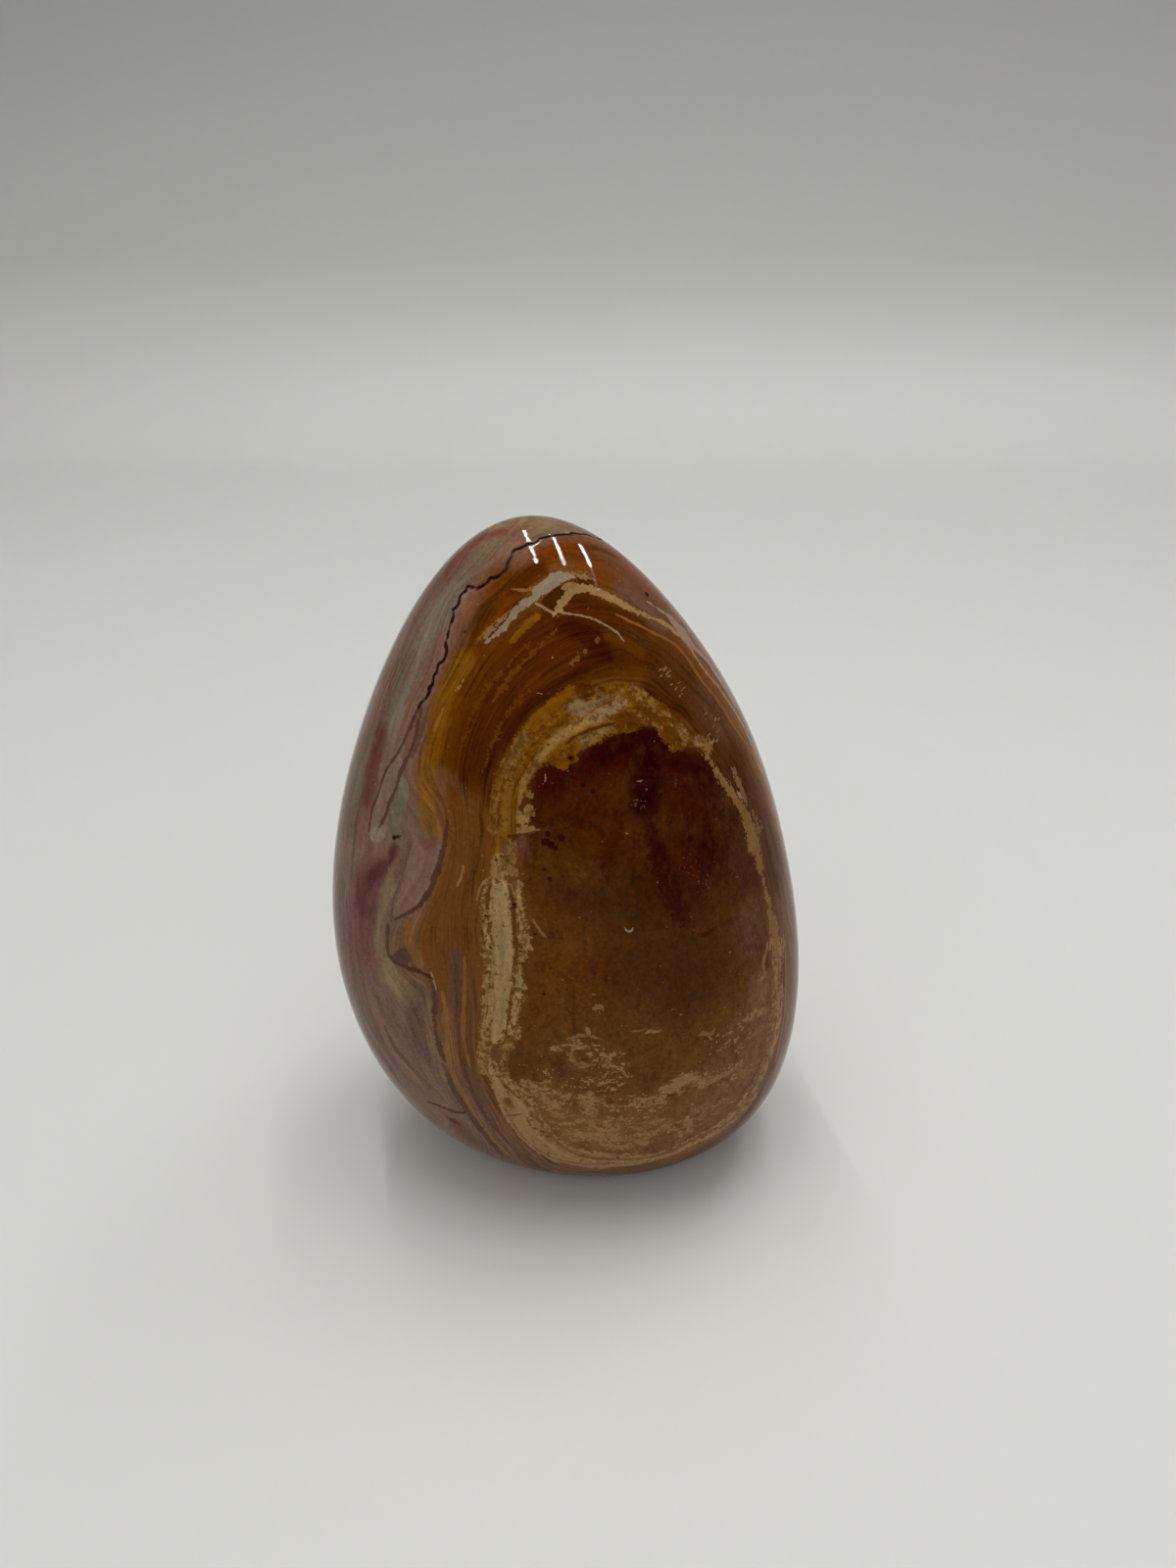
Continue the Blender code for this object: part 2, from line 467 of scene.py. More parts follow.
def listed(parts, field, kind=float, size=1):
    """One field of every point, corner or face of the stone."""
    values = np.empty(len(parts) * size, kind)
    parts.foreach_get(field, values)
    return values.reshape(-1, size) if size > 1 else values


def keep(name, kind, values, at="POINT"):
    """Stores a value for each of the stone's points or corners, which its material reads by name."""
    field = {"FLOAT": "value", "FLOAT_VECTOR": "vector", "FLOAT_COLOR": "color"}[kind]
    kept = stone_mesh.attributes.new(name, kind, at)
    kept.data.foreach_set(field, np.ascontiguousarray(values, float).ravel())


def grown_level(where):
    """The level at any places: the smoothest field that passes through every guide point."""
    def apart(a, b):
        return np.sqrt(((a[:, None] - b[None]) ** 2).sum(2) + LEVEL_ROUNDING)

    count = len(guide_places)
    plane = np.hstack([np.ones((count, 1)), guide_places])
    system = np.block([[apart(guide_places, guide_places), plane], [plane.T, np.zeros((4, 4))]])
    pull = np.linalg.solve(system, np.concatenate([guide_levels, np.zeros(4)]))
    out = np.empty(len(where))
    for part in np.array_split(np.arange(len(where)), 16):
        pulled = apart(where[part], guide_places) @ pull[:count]
        out[part] = pulled + pull[count] + where[part] @ pull[count + 1:]
    return out


places = listed(stone_mesh.vertices, "co", size=3) / MM
normals = listed(stone_mesh.vertices, "normal", size=3)
level = grown_level(places)
keep("level", "FLOAT", level)


# The ground colours. Iron oxides stained each band as it grew: brown and maroon in the core, ochre and
# orange round it, mauve, pink and grey-green outside the seam. They run softly into one another, so each is
# brushed on along a line of pixels, with a width in pixels, over colours that depend on the band alone.
FRONT_LIGHT = 0.59
GLOSS_VEIL = 0.0015
BRUSH_REACH = 1.3  # in half widths, how far from its line a brush is followed
BRUSH_FULL = 1.25  # the higher, the more of its width a brush covers in full
BRUSH_STRAY = 0.7
SLOW_WOBBLE = (0.22, 0.8)  # how the bands' borders wander: turns per mm, and reach in mm
QUICK_WOBBLE = (0.75, 0.45)
# Levels from the core's edge outwards, and the colour that each is to have in the photograph's light
BAND_COLOURS = (
    (-12, (68, 38, 12)), (-4, (62, 32, 8)), (-1, (70, 40, 12)), (0.5, (88, 56, 24)), (3, (92, 58, 20)),
    (5, (62, 30, 4)), (8, (80, 44, 8)), (11, (86, 50, 12)), (14, (94, 58, 20)), (16.5, (96, 64, 44)),
    (19, (96, 78, 64)), (22, (92, 66, 54)), (25, (96, 84, 70)), (28, (98, 74, 62)), (32, (82, 54, 48)),
    (38, (96, 78, 66)),
)
# The colour in that light, the width, and the line
BRUSHES = (
    # crown
    ((98, 78, 54), 22, ((500, 536), (520, 531), (545, 529), (580, 531), (612, 546))),
    ((94, 62, 50), 14, ((522, 546), (502, 552), (480, 566), (462, 586), (448, 600))),
    ((104, 73, 58), 9, ((520, 556), (510, 570), (498, 584), (482, 596))),
    ((90, 74, 58), 13, ((472, 590), (480, 577), (490, 564), (501, 556))),
    ((88, 50, 41), 5, ((446, 596), (458, 580), (470, 565), (484, 553), (500, 545), (512, 543))),
    ((88, 53, 46), 5, ((446, 594), (458, 592), (472, 597))),
    ((88, 56, 32), 8, ((575, 550), (600, 553), (622, 560), (640, 575))),
    ((84, 40, 4), 20, ((528, 584), (550, 570), (575, 564), (602, 568), (618, 580))),
    ((78, 44, 16), 20, ((630, 582), (650, 602), (672, 628))),
    ((96, 54, 20), 7, ((634, 568), (652, 584), (672, 600), (692, 622))),
    ((104, 69, 50), 15, ((534, 560), (514, 588), (490, 607), (476, 625), (468, 650), (458, 672),
        (447, 700))),
    ((98, 70, 56), 9, ((447, 700), (438, 726), (428, 750), (420, 775), (416, 800), (414, 824))),
    # ochre round the core
    ((76, 40, 1), 34, ((520, 600), (500, 640), (480, 690), (466, 750), (464, 800))),
    ((62, 27, 0), 30, ((600, 622), (560, 640), (530, 680), (505, 730), (490, 780))),
    ((66, 29, 0), 22, ((640, 640), (610, 648), (575, 672), (545, 700))),
    ((102, 64, 13), 13, ((472, 674), (457, 705), (445, 745), (438, 780), (436, 806))),
    ((102, 68, 26), 11, ((438, 790), (436, 820), (438, 848))),
    ((92, 60, 34), 9, ((452, 790), (450, 815), (448, 835))),
    ((74, 39, 3), 11, ((548, 702), (575, 690), (615, 684), (655, 692))),
    ((57, 24, 0), 10, ((519, 752), (530, 733), (546, 717), (560, 702), (580, 690), (601, 674), (620, 667),
        (640, 664), (660, 671), (668, 682), (680, 706), (696, 724), (712, 730))),
    ((84, 50, 28), 7, ((462, 792), (470, 804), (476, 822), (479, 844))),
    ((88, 54, 22), 30, ((478, 836), (474, 870), (462, 915), (450, 960), (462, 1000))),
    ((84, 52, 20), 16, ((494, 840), (488, 900), (487, 960), (482, 1040), (484, 1090))),
    ((76, 52, 37), 8, ((464, 975), (465, 1010), (466, 1040), (468, 1060))),
    ((92, 64, 38), 14, ((456, 1040), (460, 1080), (478, 1115), (500, 1150))),
    ((86, 60, 42), 18, ((478, 1100), (500, 1140), (525, 1168), (560, 1190), (600, 1196))),
    # right flank
    ((66, 37, 14), 34, ((660, 656), (695, 690), (722, 730))),
    ((78, 50, 30), 16, ((724, 716), (738, 744), (752, 776))),
    ((64, 36, 16), 22, ((752, 780), (772, 826), (788, 880), (798, 930))),
    ((90, 63, 42), 14, ((800, 920), (806, 980), (804, 1040), (796, 1085), (780, 1120))),
    # darker and paler ochre under the crown
    ((62, 29, 1), 10, ((524, 600), (538, 588), (552, 580))),
    ((48, 18, 0), 15, ((580, 640), (600, 648), (620, 664))),
    ((56, 27, 3), 9, ((588, 612), (610, 616), (632, 626), (655, 640))),
    ((60, 29, 1), 12, ((622, 640), (640, 668), (668, 672))),
    ((72, 38, 4), 7, ((622, 648), (640, 654), (654, 663))),
    ((80, 54, 40), 11, ((640, 604), (658, 620), (674, 634))),
    # mauve, pink and grey-green outside the seam
    ((96, 86, 74), 16, ((462, 606), (452, 616), (438, 642), (424, 676), (408, 712), (396, 740))),
    ((100, 75, 61), 12, ((452, 650), (440, 684), (426, 712), (414, 742), (402, 766), (392, 790))),
    ((88, 76, 66), 9, ((413, 690), (402, 712), (392, 732), (386, 752))),
    ((94, 70, 60), 10, ((440, 600), (420, 640), (398, 690), (384, 730), (374, 756))),
    ((80, 44, 37), 9, ((388, 752), (383, 770), (378, 786), (375, 804), (371, 824), (366, 842))),
    ((88, 74, 60), 13, ((370, 762), (358, 800), (350, 850), (346, 900), (347, 945))),
    ((102, 78, 66), 22, ((376, 850), (378, 866), (366, 870), (392, 866))),
    ((90, 59, 54), 30, ((382, 904), (372, 940), (368, 980), (374, 1010))),
    ((74, 46, 42), 12, ((390, 888), (376, 902), (370, 924))),
    ((68, 42, 38), 7, ((403, 866), (398, 880), (388, 890), (378, 898))),
    ((97, 75, 61), 22, ((428, 868), (420, 890), (412, 916), (406, 936))),
    ((98, 75, 65), 34, ((388, 1030), (400, 1060), (424, 1094), (450, 1128), (482, 1160))),
    ((109, 89, 66), 8, ((400, 902), (392, 922), (387, 946), (388, 970), (394, 988))),
    ((108, 88, 63), 14, ((396, 996), (410, 1004), (424, 1009))),
    ((89, 70, 52), 9, ((427, 1008), (434, 1018), (436, 1034))),
    ((97, 79, 57), 7, ((437, 1022), (438, 1045), (443, 1070), (452, 1094), (464, 1114))),
    ((81, 62, 55), 9, ((420, 1032), (424, 1055), (431, 1080))),
    ((92, 74, 62), 8, ((350, 985), (360, 1026), (380, 1068), (410, 1108), (446, 1146))),
    ((84, 62, 50), 12, ((470, 1150), (495, 1172), (520, 1184))),
    # core
    ((76, 43, 12), 60, ((560, 950), (555, 1010), (570, 1060))),
    ((77, 47, 18), 70, ((600, 1090), (680, 1080), (740, 1040))),
    ((92, 62, 32), 40, ((720, 1130), (690, 1150), (600, 1150), (560, 1135))),
    ((54, 23, 1), 60, ((570, 830), (610, 850), (600, 890))),
    ((49, 18, 2), 50, ((710, 800), (715, 850), (700, 900))),
    ((49, 15, 1), 26, ((560, 796), (600, 780), (640, 776), (690, 786))),
    ((35, 6, 1), 18, ((612, 768), (640, 756), (664, 752), (684, 764))),
    ((38, 10, 2), 12, ((690, 774), (708, 780), (722, 792))),
    ((31, 4, 1), 19, ((656, 770), (660, 800), (658, 822))),
    ((39, 12, 3), 16, ((722, 862), (728, 880))),
    ((42, 12, 2), 9, ((664, 846), (673, 870), (684, 893), (692, 920), (697, 938))),
    ((48, 24, 6), 24, ((650, 905), (664, 930))),
    ((55, 30, 12), 60, ((686, 980), (700, 1000))),
    ((54, 30, 14), 22, ((748, 812), (758, 860), (764, 900))),
    ((72, 46, 30), 20, ((766, 930), (768, 960))),
    ((60, 30, 6), 14, ((566, 852), (590, 858), (606, 862))),
    ((52, 29, 9), 24, ((626, 912), (646, 924))),
    ((66, 38, 12), 26, ((560, 880), (590, 890))),
    ((76, 48, 30), 9, ((532, 856), (534, 874))),
    # lower right rim, and the gap between the arch and the right flank
    ((94, 66, 42), 17, ((776, 1004), (776, 1040), (768, 1076), (752, 1104), (728, 1130))),
    ((86, 58, 32), 12, ((752, 1046), (742, 1076), (724, 1104))),
    ((58, 28, 2), 13, ((664, 702), (680, 714), (694, 726))),
)
# Levels, and how strongly the bands are streaked there
STREAKED = ((-6, 0.10), (-1, 0.15), (1, 0.5), (3, 1.0), (15, 1.0), (18, 0.6), (30, 0.6))
# In mm, where each begins and over how much it comes in: the right flank from the middle, flames from the
# core's edge outwards, from the outer bands inwards and from the table up
RIGHT_FLANK = (18, 6)
FLAMES_OUTWARDS = (3, 2)
FLAMES_INWARDS = (16, 2)
FLAMES_UPWARDS = (38, 14)
FLANK_LESS_STREAKED = 0.1
FLANK_LESS_FLAMED = 0.7
CORE_EDGE = 0.3
CORE_FADE = 1.5


def pigment(red, green, blue):
    """The stone's own colour that looks like the given one in the photograph's light."""
    seen = np.array([red, green, blue]) / 255
    linear = np.where(seen <= 0.04045, seen / 12.92, ((seen + 0.055) / 1.055) ** 2.4)
    return np.maximum(linear - GLOSS_VEIL, 0.0005) / FRONT_LIGHT


def offsets(line, within):
    """The stone's points near a traced line: which, how far aside, the nearest sample, the run past it."""
    place, ahead, across, normal, half = line
    low, high = place.min(0) - within, place.max(0) + within
    near = np.flatnonzero(((places > low) & (places < high)).all(1))
    spots = places[near]
    apart = (spots**2).sum(1)[:, None] + (place**2).sum(1)[None] - 2 * spots @ place.T
    sample = apart.argmin(1)
    gap = spots - place[sample]
    aside = (gap * across[sample]).sum(1)
    lift = (gap * normal[sample]).sum(1)
    run = (gap * ahead[sample]).sum(1)
    before = np.where(sample == 0, np.maximum(-run, 0), 0)
    past = before + np.where(sample == len(place) - 1, np.maximum(run, 0), 0)
    aside = np.where(aside < 0, -1, 1) * np.hypot(aside, lift)
    close = np.hypot(aside, past) < within
    return near[close], aside[close], sample[close], past[close]


def eased(share):
    """A step from 0 to 1 with soft ends."""
    share = np.clip(share, 0, 1)
    return share * share * (3 - 2 * share)


def brushed(width, line, sideways, full):
    """The stone's points under a soft brush, and how far it covers each of them."""
    traced = trace([(x, y, width * 2) for x, y in line])
    half = traced[4]
    near, aside, sample, past = offsets(traced, half.max() * BRUSH_REACH)
    away = np.hypot(aside + sideways[near], past) / half[sample]
    return near, eased(full - away)


wobble = stirred(places, *SLOW_WOBBLE) + stirred(places, *QUICK_WOBBLE)
band_levels = np.array([band_level for band_level, seen in BAND_COLOURS])
band_colours = np.array([pigment(*seen) for band_level, seen in BAND_COLOURS])
wobbled = level + wobble[:, 0]
ground = np.stack([np.interp(wobbled, band_levels, channel) for channel in band_colours.T], 1)
for seen, width, line in BRUSHES:
    near, cover = brushed(width, line, wobble[:, 1] * BRUSH_STRAY, BRUSH_FULL)
    cover = cover[:, None]
    ground[near] = ground[near] * (1 - cover) + pigment(*seen) * cover
right_flank = eased((places[:, 0] - RIGHT_FLANK[0]) / RIGHT_FLANK[1]) * (level > 0)
flame_share = eased((level - FLAMES_OUTWARDS[0]) / FLAMES_OUTWARDS[1])
flame_share *= eased((FLAMES_INWARDS[0] - level) / FLAMES_INWARDS[1])
flame_share *= eased((places[:, 2] - FLAMES_UPWARDS[0]) / FLAMES_UPWARDS[1])
keep("streaked", "FLOAT", np.interp(level, *zip(*STREAKED)) * (1 - FLANK_LESS_STREAKED * right_flank))
keep("flamed", "FLOAT", flame_share * (1 - FLANK_LESS_FLAMED * right_flank))
keep("cored", "FLOAT", eased(CORE_EDGE - level / CORE_FADE))
keep("ground", "FLOAT_COLOR", np.hstack([ground, np.ones((len(places), 1))]))


# The pieces of band. Where the bands were squeezed, some broke into lenses, folds and tongues with sharp
# edges. Each is a closed outline in pixels and has one colour; a later piece lies over an earlier one.
COLOUR_BLEND = 0.7  # mm over which the colours of overlapping pieces run together
PIECE_MARGIN = 2.5  # mm outside an outline in which its edge is still followed
FAR_OUTSIDE = -3.0
PIECES = (
    # grey-green and pale lenses beside the seam
    ((103, 84, 70), ((404, 770), (411, 776), (409, 790), (404, 804), (400, 816), (396, 828), (396, 845),
        (390, 857), (382, 857), (377, 848), (379, 832), (383, 818), (388, 802), (395, 786))),
    ((90, 82, 68), ((410, 788), (416, 800), (416, 816), (411, 832), (407, 846), (403, 855), (399, 851),
        (398, 836), (398, 818), (404, 804))),
    ((112, 99, 83), ((378, 846), (384, 843), (392, 846), (390, 857), (381, 859))),
    # mauve lens and its reddish notch
    ((101, 78, 64), ((420, 862), (429, 862), (436, 868), (442, 864), (449, 862), (453, 858), (453, 866),
        (448, 880), (443, 894), (439, 906), (432, 917), (424, 926), (413, 931), (404, 936), (405, 916),
        (411, 900), (415, 880))),
    ((93, 64, 50), ((428, 852), (437, 856), (447, 853), (446, 862), (441, 865), (436, 868), (430, 863))),
    # brown knot and gold patch
    ((70, 50, 40), ((398, 977), (404, 971), (412, 967), (418, 971), (420, 979), (414, 984), (406, 984))),
    ((102, 70, 34), ((412, 942), (417, 938), (421, 945), (421, 955), (419, 965), (414, 964), (411, 953))),
    ((100, 68, 36), ((419, 969), (424, 967), (429, 973), (432, 982), (430, 988), (424, 986), (420, 978))),
    ((70, 47, 35), ((442, 1003), (447, 1010), (447, 1026), (446, 1044), (450, 1066), (456, 1088),
        (450, 1080), (444, 1060), (441, 1036), (441, 1016))),
    # gold wedge and drop under the veins, and the brown windows that the veins leave
    ((100, 62, 10), ((520, 656), (524, 647), (530, 640), (537, 633), (545, 627), (549, 625), (552, 629),
        (546, 636), (539, 642), (531, 649), (524, 656))),
    ((90, 54, 6), ((610, 649), (613, 652), (610, 656), (607, 653))),
    ((52, 27, 3), ((553, 617), (556, 609), (564, 602), (573, 597), (580, 600), (574, 610), (567, 620),
        (561, 623))),
    ((58, 30, 8), ((586, 590), (595, 589), (604, 591), (606, 597), (596, 598), (587, 597))),
)
# The cream bands: the arch over the core, the bar down its left and the band under it
CREAM_PIECES = (
    # the arch's gold body, its dull right limb and the brown gap in it
    ((98, 60, 9), ((500, 846), (500, 830), (501, 815), (503, 802), (507, 790), (512, 779), (518, 768),
        (524, 757), (531, 746), (540, 734), (551, 723), (562, 713), (573, 704), (584, 700), (600, 702),
        (616, 702), (628, 698), (642, 699), (655, 703), (666, 710), (676, 719), (685, 729), (694, 739),
        (702, 749), (711, 754), (720, 758), (724, 768), (716, 767), (708, 762), (700, 764), (691, 766),
        (683, 762), (679, 756), (672, 750), (668, 742), (662, 735), (656, 741), (648, 747), (636, 748),
        (624, 748), (614, 755), (604, 759), (596, 763), (588, 769), (590, 776), (583, 780), (574, 786),
        (567, 783), (553, 783), (547, 790), (541, 799), (535, 810), (531, 822), (529, 836), (527, 849),
        (515, 855), (505, 853))),
    ((84, 48, 11), ((640, 706), (656, 708), (668, 714), (680, 726), (692, 738), (704, 750), (718, 758),
        (722, 767), (708, 763), (696, 765), (684, 761), (674, 751), (668, 742), (662, 734), (654, 728),
        (646, 720))),
    ((76, 42, 8), ((620, 740), (632, 729), (644, 724), (654, 728), (660, 737), (650, 746), (636, 748),
        (624, 747))),
    ((108, 76, 32), ((646, 702), (658, 706), (668, 714), (672, 722), (662, 722), (652, 716), (644, 710))),
    ((112, 84, 44), ((690, 738), (698, 742), (704, 752), (700, 758), (694, 750))),
    ((112, 84, 50), ((708, 752), (716, 750), (721, 758), (716, 764), (709, 761))),
    # paler bands along its left limb
    ((99, 66, 24), ((501, 850), (501, 828), (503, 808), (508, 793), (516, 792), (521, 798), (523, 812),
        (522, 830), (521, 848), (511, 855))),
    ((100, 70, 30), ((511, 792), (514, 779), (520, 766), (527, 753), (534, 748), (537, 756), (532, 770),
        (528, 785), (523, 796), (516, 794))),
    ((126, 95, 52), ((527, 849), (528, 832), (529, 815), (531, 800), (538, 787), (546, 774), (554, 762),
        (563, 751), (574, 743), (586, 736), (598, 728), (610, 722), (622, 716), (634, 711), (640, 716),
        (636, 724), (624, 730), (610, 736), (597, 742), (584, 749), (573, 757), (562, 766), (552, 777),
        (544, 789), (538, 800), (533, 814), (531, 832), (531, 848))),
    # grey patches and brown holes
    ((106, 84, 56), ((577, 723), (584, 716), (592, 713), (602, 715), (614, 711), (624, 710), (632, 709),
        (622, 714), (612, 719), (602, 726), (594, 731), (584, 728))),
    ((114, 92, 64), ((600, 733), (608, 726), (618, 720), (628, 715), (636, 714), (638, 720), (628, 727),
        (616, 733), (606, 738))),
    ((64, 32, 5), ((586, 704), (592, 698), (602, 697), (614, 699), (619, 706), (614, 711), (604, 712),
        (598, 716), (590, 711))),
    ((80, 46, 10), ((567, 741), (573, 736), (581, 731), (584, 734), (577, 739))),
    ((110, 84, 50), ((589, 757), (598, 750), (608, 746), (620, 742), (627, 741), (619, 748), (608, 755),
        (598, 760))),
    ((60, 30, 8), ((578, 772), (583, 770), (587, 774), (582, 778))),
    # the foot of the arch with its pointed tongue and chips
    ((112, 84, 46), ((527, 842), (534, 839), (541, 840), (546, 844), (551, 847), (542, 850), (528, 851))),
    ((112, 86, 50), ((529, 828), (534, 830), (538, 821), (543, 824), (542, 833), (536, 840), (530, 838))),
    ((100, 74, 38), ((540, 809), (543, 811), (542, 815), (539, 813))),
    # the strand and the block between arch and bar
    ((110, 82, 46), ((516, 874), (518, 866), (522, 859), (527, 858), (527, 866), (525, 876))),
    ((114, 86, 52), ((503, 874), (510, 871), (518, 873), (524, 868), (527, 876), (524, 882), (528, 889),
        (521, 893), (514, 896), (518, 902), (510, 904), (502, 901), (500, 892), (502, 883))),
    ((76, 48, 16), ((515, 876), (521, 877), (519, 882), (515, 881))),
    # bar, and the ragged rims to its left and right
    ((127, 104, 68), ((502, 900), (502, 915), (503, 930), (504, 945), (503, 958), (504, 970), (502, 985),
        (502, 1000), (501, 1020), (500, 1040), (499, 1055), (497, 1068), (498, 1078), (502, 1070),
        (507, 1064), (512, 1060), (516, 1048), (518, 1034), (520, 1020), (522, 1004), (524, 985),
        (524, 968), (523, 950), (521, 930), (520, 912), (517, 899))),
    ((121, 95, 58), ((501, 892), (496, 902), (492, 915), (491, 930), (492, 945), (492, 960), (493, 975),
        (495, 988), (492, 1000), (493, 1014), (491, 1030), (490, 1045), (489, 1058), (488, 1072),
        (488, 1086), (494, 1097), (499, 1090), (500, 1072), (502, 1056), (503, 1036), (505, 1014),
        (505, 994), (505, 974), (506, 954), (505, 934), (504, 914))),
    ((126, 100, 63), ((522, 903), (530, 899), (532, 910), (534, 922), (536, 934), (539, 944), (540, 956),
        (542, 970), (536, 970), (530, 962), (528, 950), (527, 935), (525, 919))),
    ((118, 93, 58), ((527, 973), (531, 966), (535, 973), (538, 981), (531, 981), (526, 980))),
    ((127, 101, 65), ((524, 988), (530, 984), (534, 990), (533, 998), (536, 1003), (536, 1012),
        (534, 1021), (531, 1031), (528, 1040), (529, 1050), (529, 1060), (523, 1061), (519, 1054),
        (521, 1040), (523, 1020), (525, 1004))),
    ((112, 86, 50), ((512, 1063), (519, 1059), (525, 1066), (520, 1072), (518, 1082), (517, 1092),
        (518, 1101), (512, 1100), (511, 1086), (512, 1074))),
    # foot of the bar
    ((120, 95, 62), ((496, 1084), (502, 1082), (508, 1086), (509, 1096), (512, 1103), (520, 1102),
        (528, 1108), (537, 1112), (544, 1122), (549, 1134), (556, 1146), (566, 1158), (580, 1169),
        (600, 1174), (624, 1177), (650, 1178), (670, 1176), (690, 1169), (706, 1161), (722, 1153),
        (734, 1145), (744, 1136), (753, 1126), (761, 1114), (770, 1108), (772, 1118), (764, 1130),
        (752, 1142), (736, 1154), (718, 1164), (698, 1174), (674, 1183), (645, 1189), (612, 1192),
        (584, 1189), (562, 1183), (546, 1174), (533, 1163), (523, 1151), (514, 1138), (508, 1124),
        (503, 1112), (499, 1100))),
    ((116, 90, 60), ((752, 1134), (760, 1121), (767, 1108), (774, 1092), (779, 1076), (783, 1056),
        (786, 1034), (788, 1010), (788, 985), (790, 955), (795, 955), (798, 985), (799, 1010), (798, 1034),
        (794, 1058), (787, 1080), (778, 1102), (768, 1122), (759, 1135))),
    ((114, 88, 56), ((528, 1101), (538, 1103), (547, 1107), (552, 1114), (556, 1118), (549, 1120),
        (541, 1114), (533, 1109))),
    ((84, 56, 26), ((514, 1121), (519, 1120), (523, 1126), (524, 1131), (518, 1129))),
)

to_camera = np.array(CAMERA_AT) / MM - places
faces_camera = (to_camera * normals).sum(1) > 0
in_view = -to_camera @ np.array(to_world)
pixels = np.stack([PHOTO_WIDTH / 2 - in_view[:, 0] / in_view[:, 2] * FOCAL_PIXELS,
                   PHOTO_HEIGHT / 2 + in_view[:, 1] / in_view[:, 2] * FOCAL_PIXELS], 1)


def outline_depth(outline):
    """How far inside a closed outline the stone's points near it lie, in mm; less than nothing outside."""
    place, ahead, across, normal, half = trace(outline, closed=True)
    low, high = place.min(0) - PIECE_MARGIN, place.max(0) + PIECE_MARGIN
    near = np.flatnonzero(((places > low) & (places < high)).all(1) & faces_camera)
    corners = smooth_line(outline, closed=True, gap=3)[:-1]
    ends = np.roll(corners, -1, 0)
    x, y = pixels[near].T[:, :, None]
    crosses = (corners[:, 1] > y) != (ends[:, 1] > y)
    rise = np.where(ends[:, 1] == corners[:, 1], 1, ends[:, 1] - corners[:, 1])
    left_of = x < corners[:, 0] + (y - corners[:, 1]) * (ends[:, 0] - corners[:, 0]) / rise
    inside = (crosses & left_of).sum(1) % 2 == 1
    spots = places[near]
    sample = ((spots**2).sum(1)[:, None] + (place**2).sum(1)[None] - 2 * spots @ place.T).argmin(1)
    gap = spots - place[sample]
    away = np.hypot((gap * across[sample]).sum(1), (gap * normal[sample]).sum(1))
    return near, np.where(inside, away, -away)


def lay_pieces(name, pieces):
    """Keeps the depth inside the nearest of some outlined pieces, and their colours, which run together."""
    depths = np.full(len(places), FAR_OUTSIDE)
    colours = ground.copy()
    for seen, outline in pieces:
        near, depth = outline_depth(outline)
        outside = depths[near] < 0
        cover = np.where(outside, depth > depths[near], eased(depth / COLOUR_BLEND + 0.5))[:, None]
        colours[near] = colours[near] * (1 - cover) + pigment(*seen) * cover
        depths[near] = np.maximum(depths[near], depth)
    keep(name, "FLOAT_COLOR", np.hstack([colours, depths[:, None]]))


lay_pieces("pieces", PIECES)
lay_pieces("cream", CREAM_PIECES)
